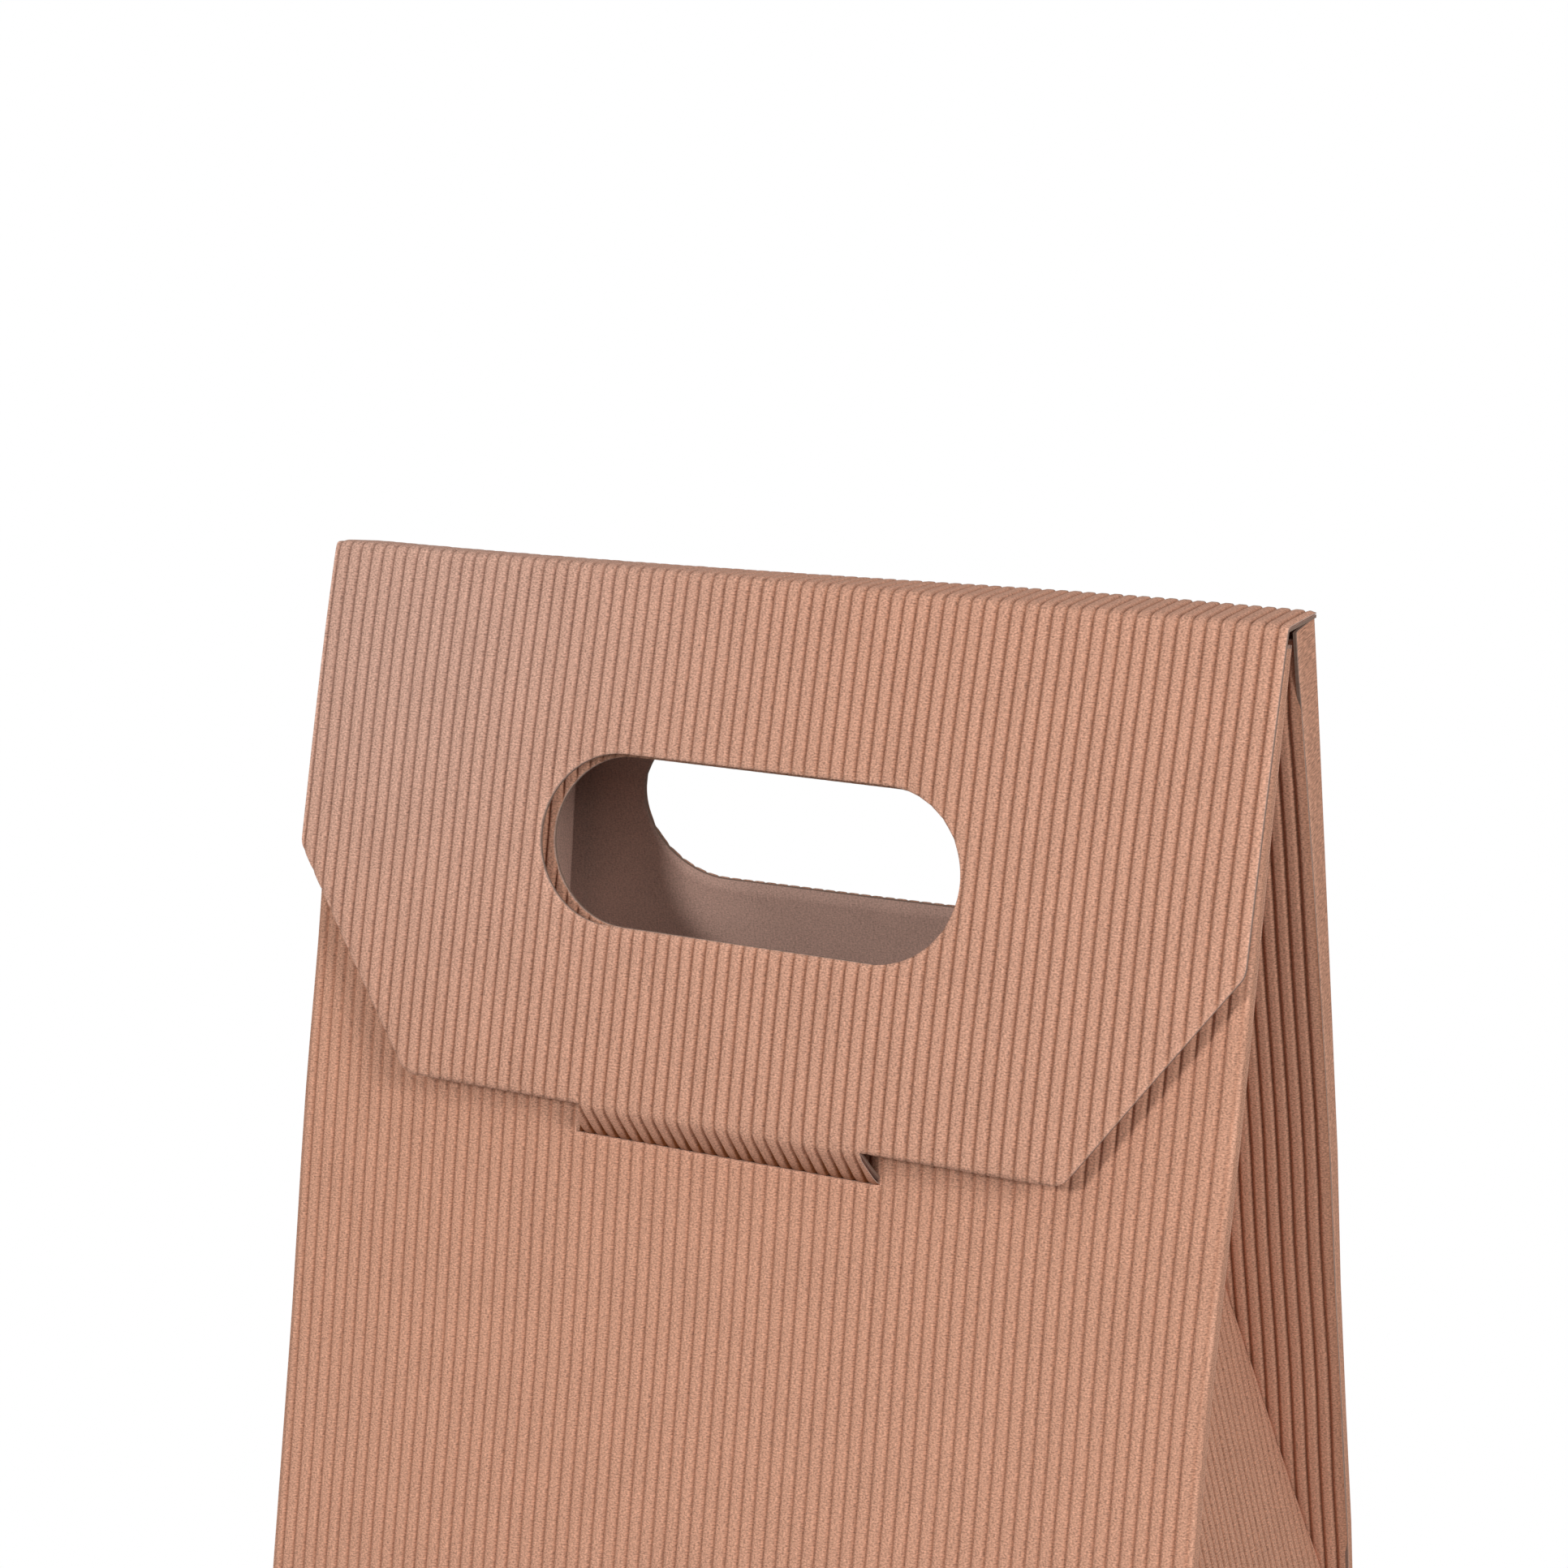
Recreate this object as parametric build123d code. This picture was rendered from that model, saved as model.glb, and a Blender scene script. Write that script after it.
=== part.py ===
from build123d import *
import math
import os

# A gable-topped wine carrier folded from one blank of open-flute card.
# Millimetres, +Z up, front towards -Y, origin under the middle of the base.
# The card is two sheets glued together: a flat liner inside, and a fluted sheet on its outer face.
# The flutes are crushed flat at the creases, apart from the blunt folds between walls and roof.

# Overall sizes, over the flutes
width = 180.0
depth = 108.0
height = 385.0
wall_height = 168.0

# The card: a flat liner with one fluted sheet glued to its outer face
liner_thickness = 0.5
flute_height = 0.8
flute_pitch = 2.4
valley_height = 0.12
crest_share = 0.46
plain_edge = 1.6
base_thickness = 1.2
crease_width = 2.0

# The roof: panels that lean together under a narrow ridge
ridge_depth = 12.4
front_set_back = 2.0
front_top_drop = 3.4
edge_band = 2.6
gusset_flat_height = 212.0
gusset_crease_width = 4.8
hinge_gap = 0.2

# The closure flap that hangs from the ridge over the front panel
flap_length = 93.0
flap_stand_off_deg = 4.0
flap_side_length = 55.0
chamfer_width = 27.0
corner_radius = 4.0

# The hand hole, cut through the flap and both roof panels
hole_length = 80.0
hole_height = 29.8
flap_hole_drop = 46.8
front_hole_drop = 47.4
back_hole_drop = 48.6

# The tuck tongue on the flap and the slot that takes it
tongue_width = 54.0
tongue_in = 6.2
tongue_down = 6.7
tongue_tip = 7.0
slot_side_gap = 2.0
slot_height = 4.8
slot_drop = 96.8

# One length past a face for every cut
overrun = 5.0

# Faces of the liner that carry the flutes
half_width = width / 2 - flute_height
half_depth = depth / 2 - flute_height
ridge_top = height - flute_height
top_half_gap = (ridge_depth - front_set_back) / 2
lean = math.atan2(half_depth - top_half_gap, ridge_top - wall_height)
slope_length = (ridge_top - wall_height) / math.cos(lean)


def polygon(points):
    """A flat face from a closed list of points."""
    return make_face(Polyline(*points, close=True))


def facet(origin, x_dir, up):
    """The plane of one face of the card: x across the flutes, y along them, z out of the card."""
    return Plane(origin=origin, x_dir=x_dir, z_dir=Vector(x_dir).cross(Vector(up)))


def fluted_sheet(plane, start, end, bottom, top):
    """Flutes from start to end across a facet, running along it from bottom to top."""
    count = int((end - start) / flute_pitch)
    first = (start + end - count * flute_pitch) / 2
    side = flute_pitch * (1 - crest_share) / 2
    points = [(first, 0)]
    for number in range(count):
        valley = first + number * flute_pitch
        points.append((valley, valley_height))
        points.append((valley + side, flute_height))
        points.append((valley + flute_pitch - side, flute_height))
    points.append((first + count * flute_pitch, valley_height))
    points.append((first + count * flute_pitch, 0))
    section = Plane(origin=plane.from_local_coords((0, bottom, 0)), x_dir=plane.x_dir, z_dir=-plane.y_dir)
    return extrude(section * polygon(points), amount=bottom - top)


def through(plane, outline):
    """A prism of an outline on a facet, cutting through the card on both sides."""
    return extrude(plane * outline, amount=overrun, both=True)


def tetrahedron(corners):
    """A solid with four flat faces."""
    faces = []
    for left_out in range(len(corners)):
        edge_points = corners[:left_out] + corners[left_out + 1:]
        faces.append(Face(Wire.make_polygon(edge_points, close=True)))
    return Solid(Shell(faces))


def mirrored_front_to_back(shape):
    """The same shape on the other side of the ridge."""
    return mirror(shape, about=Plane.XZ)


def mirrored_left_to_right(shape):
    """The same shape on the other end of the box."""
    return mirror(shape, about=Plane.YZ)


def house(inset, floor, top):
    """The box without its gussets: walls and leaning roof panels, set in by one thickness."""
    fold = wall_height - inset * math.tan(lean / 2)
    shoulder = half_depth - inset
    eave = shoulder - (top - fold) * math.tan(lean)
    points = [(-shoulder, floor), (shoulder, floor), (shoulder, fold)]
    points += [(eave, top), (-eave, top), (-shoulder, fold)]
    return extrude(Plane.YZ * polygon(points), amount=half_width - inset, both=True)


# Corners of the gusset at the right end. Folding keeps the card's lengths, so the lean of the
# panels and the flat height of the triangle settle how far its tip is drawn in.
corner_depth = half_depth - edge_band
tilt_cosine = (gusset_flat_height - corner_depth * math.sin(lean)) / (gusset_flat_height * math.cos(lean))
gusset_tilt = math.acos(tilt_cosine)
gusset_tip = Vector(
    half_width - gusset_flat_height * math.sin(gusset_tilt),
    0,
    wall_height + gusset_flat_height * math.cos(gusset_tilt),
)
front_corner = Vector(half_width, -corner_depth, wall_height)
back_corner = Vector(half_width, corner_depth, wall_height)
meeting_point = Vector(half_width, 0, wall_height + corner_depth / math.tan(lean))


def plane_normal(first, second, third, inside):
    """The unit normal of the plane through three points, turned away from a point inside."""
    normal = (second - first).cross(third - first).normalized()
    if normal.dot(inside - first) > 0:
        normal = normal * -1
    return normal


def gusset_recess(grown):
    """The hollow between the folded-in triangle and its two wings, grown into the box by a thickness."""
    middle = (front_corner + back_corner + meeting_point + gusset_tip) * (1 / 4)
    triangle = plane_normal(gusset_tip, front_corner, back_corner, middle)
    wing = plane_normal(gusset_tip, front_corner, meeting_point, middle)
    # The grown tip lies where the triangle and both wings meet, and the two wings mirror each other.
    across = triangle.X * wing.Z - triangle.Z * wing.X
    shift = Vector(grown * (wing.Z - triangle.Z) / across, 0, grown * (triangle.X - wing.X) / across)
    # Wings and triangle are carried past the end of the box from the tip.
    reach_share = 1 + overrun / (half_width - gusset_tip.X)
    corners = [gusset_tip + shift]
    for corner in (front_corner, back_corner, meeting_point):
        corners.append(gusset_tip + shift + (corner - gusset_tip) * reach_share)
    return tetrahedron(corners)


def stadium():
    """The hand hole's outline, centred."""
    return SlotOverall(hole_length, hole_height)


def roof_facet():
    """The outer face of the front roof panel, from the crease up."""
    return facet((0, -half_depth, wall_height), (1, 0, 0), (0, math.sin(lean), math.cos(lean)))


def slot_outline():
    """The slot in the front panel that takes the tongue."""
    return Rectangle(tongue_width + 2 * slot_side_gap, slot_height)


def roof_cuts():
    """Hand holes in both roof panels, the tongue's slot, and what is cut away above the top edges."""
    roof = roof_facet()
    front_hole = through(roof, Pos(0, slope_length - front_hole_drop) * stadium())
    back_hole = through(roof, Pos(0, slope_length - back_hole_drop) * stadium())
    slot = through(roof, Pos(0, slope_length - slot_drop) * slot_outline())
    block = Box(width, half_depth, overrun, align=(Align.CENTER, Align.CENTER, Align.MIN))
    over_front = Pos(0, -half_depth / 2, ridge_top - front_top_drop) * block
    over_back = Pos(0, half_depth / 2, ridge_top - liner_thickness - hinge_gap) * block
    return [front_hole, mirrored_front_to_back(back_hole), slot, over_front, over_back]


def carton_liner():
    """The flat liner folded into the box: base, walls, roof panels and gussets, open at the top."""
    recess = gusset_recess(0)
    grown_recess = gusset_recess(liner_thickness)
    outside = house(0, 0, ridge_top)
    outside = outside - [recess, mirrored_left_to_right(recess)]
    inside = house(liner_thickness, base_thickness, ridge_top + overrun)
    inside = inside - [grown_recess, mirrored_left_to_right(grown_recess)]
    return outside - [inside, *roof_cuts()]


def front_and_back_flutes():
    """Flutes that run up the front and back walls and on over the fold onto the roof panels."""
    edge = half_width - plain_edge
    wall = facet((0, -half_depth, 0), (1, 0, 0), (0, 0, 1))
    half_lean = lean / 2
    fold_normal = (0, math.sin(half_lean), math.cos(half_lean))
    fold = Plane(origin=(0, -half_depth, wall_height), x_dir=(1, 0, 0), z_dir=fold_normal)
    wall_sheet = fluted_sheet(wall, -edge, edge, crease_width / 2, wall_height + overrun)
    roof_sheet = fluted_sheet(roof_facet(), -edge, edge, -overrun, slope_length - crease_width / 2)
    wall_sheet = split(wall_sheet, bisect_by=fold, keep=Keep.BOTTOM)
    roof_sheet = split(roof_sheet, bisect_by=fold, keep=Keep.TOP)
    sheet = wall_sheet + roof_sheet
    return [sheet, mirrored_front_to_back(sheet)]


def end_wall_flutes():
    """Flutes on the upright walls at the two ends."""
    edge = half_depth - plain_edge
    wall = facet((half_width, 0, 0), (0, 1, 0), (0, 0, 1))
    sheet = fluted_sheet(wall, -edge, edge, crease_width / 2, wall_height - crease_width / 2)
    return [sheet, mirrored_left_to_right(sheet)]


def inset_triangle(plane, corners):
    """A triangle of the card, drawn in from its creases."""
    outline = polygon([plane.to_local_coords(corner) for corner in corners])
    return offset(outline, amount=-gusset_crease_width / 2, kind=Kind.INTERSECTION)


def gusset_flutes():
    """Flutes on the triangle and the two wings at both ends."""
    foot = (front_corner + back_corner) * (1 / 2)
    triangle = facet(foot, Vector(0, 1, 0), gusset_tip - foot)
    triangle_sheet = fluted_sheet(triangle, -corner_depth, corner_depth, 0, gusset_flat_height)
    triangle_outline = inset_triangle(triangle, [front_corner, back_corner, gusset_tip])
    triangle_sheet = triangle_sheet & through(triangle, triangle_outline)

    panel_top = Vector(half_width, edge_band - top_half_gap, ridge_top)
    up = (panel_top - front_corner).normalized()
    to_tip = gusset_tip - front_corner
    inward = (to_tip - up * to_tip.dot(up)).normalized()
    wing = facet(front_corner, inward, up)
    wing_sheet = fluted_sheet(wing, 0, corner_depth, 0, slope_length)
    wing_sheet = wing_sheet & through(wing, inset_triangle(wing, [front_corner, gusset_tip, panel_top]))
    wing_sheet = split(wing_sheet, bisect_by=Plane.XZ.offset(valley_height), keep=Keep.TOP)

    right_end = [triangle_sheet, wing_sheet, mirrored_front_to_back(wing_sheet)]
    return right_end + [mirrored_left_to_right(sheet) for sheet in right_end]


def carton_fluting():
    """The fluted sheet on the box, one panel between each pair of creases, with the same cuts."""
    panels = []
    for sheet in front_and_back_flutes() + gusset_flutes():
        panels.append(sheet - roof_cuts())
    return Compound(end_wall_flutes() + panels)


def card_strip(points, strip_width):
    """The liner bent along a line of points in the YZ plane, its thickness on the inner side."""
    normals = []
    for start, end in zip(points, points[1:]):
        run = math.dist(start, end)
        normals.append(((end[1] - start[1]) / run, (start[0] - end[0]) / run))
    joints = [normals[0]]
    for before, after in zip(normals, normals[1:]):
        spread = 1 + before[0] * after[0] + before[1] * after[1]
        joints.append(((before[0] + after[0]) / spread, (before[1] + after[1]) / spread))
    joints.append(normals[-1])
    inner = []
    for (y, z), (ny, nz) in zip(points, joints):
        inner.append((y - liner_thickness * ny, z - liner_thickness * nz))
    return extrude(Plane.YZ * polygon(points + inner[::-1]), amount=strip_width / 2, both=True)


def flap_outline():
    """The flap's outline on its own facet: y runs up from the lower edge to the front crease."""
    lower = width / 2 - chamfer_width
    shoulder = flap_length - flap_side_length
    upper = flap_length + overrun
    side = width / 2
    points = [(-lower, 0), (lower, 0), (side, shoulder), (side, upper), (-side, upper), (-side, shoulder)]
    outline = polygon(points)
    low_corners = [corner for corner in outline.vertices() if corner.Y < upper]
    return fillet(low_corners, radius=corner_radius)


# The flap's folds in the YZ plane, from the hinge line over the ridge and down to the tongue
flap_lean = lean + math.radians(flap_stand_off_deg)
hinge = (top_half_gap, ridge_top)
front_crease = (top_half_gap - ridge_depth, ridge_top)
lower_edge = (
    front_crease[0] - flap_length * math.sin(flap_lean),
    front_crease[1] - flap_length * math.cos(flap_lean),
)
mouth = (lower_edge[0] + tongue_in, lower_edge[1] - tongue_down)
# The tip follows the circle that it swings on, so it slides straight out of the slot.
swing = math.dist(hinge, mouth)
tip = (
    mouth[0] + tongue_tip * (hinge[1] - mouth[1]) / swing,
    mouth[1] - tongue_tip * (hinge[0] - mouth[0]) / swing,
)
flap_panel = facet((0, *lower_edge), (1, 0, 0), (0, math.sin(flap_lean), math.cos(flap_lean)))


def flap_cuts():
    """What is cut away around the flap's outline, and its hand hole."""
    around = Pos(0, -overrun) * Rectangle(width + overrun, flap_length, align=(Align.CENTER, Align.MIN))
    hole = Pos(0, flap_length - flap_hole_drop) * stadium()
    return [through(flap_panel, around - flap_outline()), through(flap_panel, hole)]


def flap_liner():
    """The flat liner of the closure flap: ridge strip, hanging panel and tuck tongue."""
    hanging = card_strip([hinge, front_crease, lower_edge], width) - flap_cuts()
    tongue = card_strip([front_crease, lower_edge, mouth, tip], tongue_width) - flap_cuts()[1]
    return hanging + tongue


def flap_fluting():
    """The fluted sheet on the flap, one panel between each pair of creases."""
    margin = crease_width / 2
    ridge = facet((0, *front_crease), (1, 0, 0), (0, 1, 0))
    tongue = facet((0, *mouth), (1, 0, 0), (0, -tongue_in, tongue_down))
    tongue_length = math.hypot(tongue_in, tongue_down)
    ridge_sheet = fluted_sheet(ridge, -width / 2, width / 2, margin, ridge_depth - margin)
    panel_sheet = fluted_sheet(flap_panel, -width / 2, width / 2, 0, flap_length - margin) - flap_cuts()
    tongue_edge = tongue_width / 2 - plain_edge
    tongue_sheet = fluted_sheet(tongue, -tongue_edge, tongue_edge, margin, tongue_length - margin)
    return Compound([ridge_sheet, panel_sheet, tongue_sheet])


os.makedirs("parts", exist_ok=True)
export_step(carton_liner(), "parts/carton_liner.step")
export_step(carton_fluting(), "parts/carton_fluting.step")
export_step(flap_liner(), "parts/flap_liner.step")
export_step(flap_fluting(), "parts/flap_fluting.step")
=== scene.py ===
"""Looks of a gable-topped wine carrier, folded from kraft card with its flutes on the outside.

The card is drawn as it is made: a flat liner sheet inside, and a fluted sheet of thin paper glued
to its outer face, so every cut edge shows both sheets and the open ends of the flutes.  Lengths in
the classes are millimetres, in the same frame as the solids, and turn into metres when a mesh is
made.
"""

import logging
import math
from abc import ABC, abstractmethod
from dataclasses import dataclass, field, replace
from enum import Enum
from typing import Callable, ClassVar, Sequence

import bpy
import numpy as np
from mathutils import Matrix, Vector


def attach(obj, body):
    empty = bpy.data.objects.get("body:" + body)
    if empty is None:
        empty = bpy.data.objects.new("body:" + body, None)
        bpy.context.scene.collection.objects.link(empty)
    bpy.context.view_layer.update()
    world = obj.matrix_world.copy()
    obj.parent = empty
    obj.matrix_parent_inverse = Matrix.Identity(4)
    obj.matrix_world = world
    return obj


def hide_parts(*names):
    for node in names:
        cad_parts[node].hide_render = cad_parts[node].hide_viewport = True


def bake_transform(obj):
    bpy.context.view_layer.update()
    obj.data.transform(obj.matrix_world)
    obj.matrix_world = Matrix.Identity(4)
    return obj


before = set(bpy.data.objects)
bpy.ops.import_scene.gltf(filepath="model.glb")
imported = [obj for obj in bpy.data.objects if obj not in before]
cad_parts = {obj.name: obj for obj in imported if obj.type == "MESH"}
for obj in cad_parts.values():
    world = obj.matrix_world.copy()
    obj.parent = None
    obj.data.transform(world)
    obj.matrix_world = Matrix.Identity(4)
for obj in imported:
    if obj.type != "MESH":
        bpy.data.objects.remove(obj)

LOG = logging.getLogger("wine_carrier")
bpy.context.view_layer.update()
METRES_PER_MM = 0.001
SHEET_MAP = "sheet"  # UV map with the places on the flat sheet, in metres
# The tone attribute also holds painted shade and painted highlights.
TONE = "tone"  # attribute with the tone of the paper
NOISE_ROUGHNESS = 0.55  # weight of the finer octaves of a noise
ARC_POINTS = 13  # points of a rounded fold
WELD_STEPS = 2000.0  # steps in a millimetre to which places are rounded to be welded
FACING_SAMPLES = 4000  # faces of a sheet that tell which way it is turned

Array = np.ndarray
Level = Callable[[Array], Array]
Band = tuple[Level, Level, Array]
Span = tuple[float, float]
Triple = tuple[float, float, float]
Socket = bpy.types.NodeSocket
Material = bpy.types.Material
Piece = bpy.types.Object


class Body(Enum):
    """The two bodies that a sheet of card can ride on."""

    BOX = "box"
    FLAP = "flap"


class Ply(Enum):
    """The two sheets that the card is glued from."""

    FLUTED = "fluted_sheet"
    LINER = "liner_sheet"


class Side(Enum):
    """Which end of the box a gusset closes, as the sign of its X."""

    RIGHT = 1.0
    LEFT = -1.0


# The solid that each sheet of a body stands for
NODES = {
    (Body.BOX, Ply.FLUTED): "carton_fluting",
    (Body.BOX, Ply.LINER): "carton_liner",
    (Body.FLAP, Ply.FLUTED): "flap_fluting",
    (Body.FLAP, Ply.LINER): "flap_liner",
}


# Lines and curves


def even(count: int) -> Array:
    """Shares of a band at even steps."""
    return np.linspace(0.0, 1.0, count + 1)


def close_to_ends(count: int, *close: float) -> Array:
    """Shares of a band at even steps, and close ones; a negative one counts from the high end."""
    further = [share if share >= 0 else 1.0 + share for share in close]
    return np.unique(np.concatenate([even(count), further]))


def level(value: float) -> Level:
    """A line that lies at the same distance along every flute."""
    return lambda across: np.full_like(across, value)


def bell(distance: Array, reach: float) -> Array:
    """A bell curve: 1 at no distance, and about a third where the distance is the reach."""
    return np.exp(-((distance / reach) ** 2))


def smooth(value: Array, low: float, high: float) -> Array:
    """A smooth step from 0 at low to 1 at high."""
    share = np.clip((value - low) / (high - low), 0.0, 1.0)
    return share * share * (3.0 - 2.0 * share)


def hump(value: Array, rise: Span, fall: Span) -> Array:
    """A smooth step up over one span, times a smooth step down over another."""
    return smooth(value, *rise) * (1.0 - smooth(value, *fall))


# Card: the paper, its flutes, the folded form and the way it is cut


@dataclass(frozen=True)
class CardStock:
    """Sizes of the single-face card.

    Attributes:
        pitch: Distance from one flute to the next.
        crest: Height of a crest's outer face over the liner's outer face.
        paper: Thickness of the fluted paper.
        liner: Thickness of the liner.
        samples: Columns of a fluted sheet in one pitch.
        liner_samples: Columns of a liner sheet in one pitch.
        front_valley: Place across of the first valley on the front, the back and the flap.
        valley_reach: Distance from a valley at which the sheet has risen by about two thirds.
        dome: Share of the height by which a crest is domed.
        die_reach: Distance from a cut over which the die has pressed the flutes.
        slow_wander: Share of a pitch by which flutes wander, and its lengths along and across.
        quick_wander: The same for a quicker wander.
        uneven: Share of the height by which flutes differ.
        uneven_length: Length along a flute over which its own height changes.
        scatter: Turns from flute to flute that make their heights differ.
        seed_turn: Turn from seed to seed.
    """

    pitch: float = 2.4
    crest: float = 0.8
    paper: float = 0.15
    liner: float = 0.5
    samples: int = 12
    liner_samples: int = 2
    front_valley: float = -89.232
    valley_reach: float = 0.30
    dome: float = 0.08
    die_reach: float = 0.7
    slow_wander: Triple = (0.035, 23.0, 31.0)
    quick_wander: Triple = (0.03, 9.0, 17.0)
    uneven: float = 0.045
    uneven_length: float = 37.0
    scatter: Span = (12.9898, 4.1414)
    seed_turn: float = 1.7

    def wave(self, across: Array, along: Array, start: float, seed: int) -> Array:
        """Works out the flute profile.

        Crests are wide and valleys narrow: the share of full height is one minus a bell curve of
        the distance to the nearest valley, under a crest domed by a half sine.  The phase wanders
        a little along the flutes, and each flute has its own height.

        Args:
            across: Distance across the flutes.
            along: Distance along the flutes.
            start: Where the first valley lies across the flutes.
            seed: Seed of the small differences between flutes.

        Returns:
            Share of full height, 0 in a valley and 1 on a crest.
        """
        slow, slow_along, slow_across = self.slow_wander
        quick, quick_along, quick_across = self.quick_wander
        wander = slow * np.sin(along / slow_along + across / slow_across + seed)
        wander = wander + quick * np.sin(along / quick_along - across / quick_across)
        phase = (across - start) / self.pitch + wander
        from_valley = np.abs(phase - np.round(phase)) * self.pitch
        dome = 1.0 - self.dome * (1.0 - np.abs(np.sin(np.pi * phase)))
        shape = (1.0 - bell(from_valley, self.valley_reach)) * dome
        flute = np.floor(phase)
        own = np.sin(flute * self.scatter[0] + seed * self.seed_turn)
        own = own * np.cos(flute * self.scatter[1] + along / self.uneven_length)
        return shape * (1.0 - self.uneven + self.uneven * own)

    def columns(self, ply: Ply, low: float, high: float, extra: Sequence[float] = ()) -> Array:
        """Places the columns of a sheet.

        Args:
            ply: Which sheet of the card it is.
            low: First column.
            high: Last column.
            extra: Columns that have to be there, such as the ends of a cut.

        Returns:
            Sorted positions across the flutes.
        """
        per_pitch = self.samples if ply is Ply.FLUTED else self.liner_samples
        count = int(round((high - low) / self.pitch * per_pitch))
        inside = np.asarray([value for value in extra if low < value < high], dtype=float)
        return np.unique(np.concatenate([np.linspace(low, high, count + 1), inside]))


@dataclass(frozen=True)
class CartonForm:
    """Sizes of the exactly folded box, at the liner's outer face.

    Attributes:
        half_width: Half the width.
        half_depth: Half the depth of the walls.
        half_gap: Half the gap between the roof panels at the ridge.
        wall: Height of the walls.
        ridge_top: Height of the ridge.
        end_band: How far the card of the front and the back goes round each end.
        foot_crush: Share of the flutes' height lost at the box's foot, and its reach.
        fold_crush: Share of the flutes' height lost on the fold over a wall, and its reach.
        fold_radius: Radius of the fold over a wall.
        fold_room: Distance from that fold within which rows lie close together.
    """

    half_width: float = 89.2
    half_depth: float = 53.2
    half_gap: float = 5.2
    wall: float = 168.0
    ridge_top: float = 384.2
    end_band: float = 2.6
    foot_crush: Span = (0.7, 1.5)
    fold_crush: Span = (0.6, 1.4)
    fold_radius: float = 1.6
    fold_room: float = 8.0

    def lean(self) -> float:
        """Lean of the roof panels from upright, in radians."""
        return math.atan2(self.half_depth - self.half_gap, self.ridge_top - self.wall)

    def slope(self) -> float:
        """Length of a roof panel from the fold to the ridge's height."""
        return (self.ridge_top - self.wall) / math.cos(self.lean())

    def wall_band(self) -> Band:
        """Rows of a wall, from its foot up to the rows at its fold."""
        return level(0.0), level(self.wall - self.fold_room), close_to_ends(6, 0.005, 0.012)


@dataclass(frozen=True)
class HandHole:
    """A hand hole with round ends, centred across its panel.

    Attributes:
        middle: Place of its middle along the panel.
        length: Length across the panel.
        height: Height along the panel.
        end_columns: Number of extra columns at each end.
        end_share: Share of the end's radius over which they lie.
    """

    middle: float
    length: float = 80.0
    height: float = 29.8
    end_columns: int = 9
    end_share: float = 0.12

    def reach(self, across: Array) -> Array:
        """Half the hole's height: a half circle at its ends, flat between, and none beside it.

        Args:
            across: Places across the panel.

        Returns:
            Half the height at each place.
        """
        radius = self.height / 2
        past = np.clip(np.abs(across) - (self.length / 2 - radius), 0.0, radius)
        inside = np.abs(across) < self.length / 2
        return np.where(inside, np.sqrt(np.clip(radius**2 - past**2, 0.0, None)), 0.0)

    def near_edge(self, across: Array) -> Array:
        """Edge of the hole that lies nearer along the panel; beside the hole, its middle."""
        return self.middle - self.reach(across)

    def far_edge(self, across: Array) -> Array:
        """Edge of the hole that lies further along the panel; beside the hole, its middle."""
        return self.middle + self.reach(across)

    def distance(self, across: Array, along: Array) -> Array:
        """Distance from the cut: that from the hole's straight middle line, less the radius.

        Args:
            across: Places across the panel.
            along: Places along the panel.

        Returns:
            The distances.
        """
        radius = self.height / 2
        past = np.clip(np.abs(across) - (self.length / 2 - radius), 0.0, None)
        return np.abs(np.hypot(past, along - self.middle) - radius)

    def columns(self) -> list[float]:
        """Extra columns at the ends, closer together where the outline turns steep.

        Returns:
            Places across the panel.
        """
        turn = np.linspace(0.0, 1.0, self.end_columns) ** 2
        ends = self.length / 2 - self.height / 2 * self.end_share * turn
        return [*ends, *(-ends)]


@dataclass(frozen=True)
class TuckSlot:
    """The slot that takes the tongue: a straight lower lip, and an upper edge above it.

    Attributes:
        lip: Place of its lower lip along the panel.
        ends: Its left and right end across the panel.
        height: Height along the panel.
        taper: Distance from its ends over which the upper edge comes down to the lip.
    """

    lip: float
    ends: Span = (-31.0, 28.2)
    height: float = 4.6
    taper: float = 6.0

    def upper(self, across: Array) -> Array:
        """Place of the upper edge along the panel: a smooth step up from each end."""
        inside = np.minimum(across - self.ends[0], self.ends[1] - across)
        return self.lip + self.height * smooth(inside, 0.0, self.taper)

    def distance(self, across: Array, along: Array) -> Array:
        """Distance from the lip, or from its nearer end."""
        past = np.clip(np.maximum(self.ends[0] - across, across - self.ends[1]), 0.0, None)
        return np.hypot(past, along - self.lip)

    def columns(self) -> list[float]:
        """Extra columns at the slot's two ends."""
        return list(self.ends)


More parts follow.
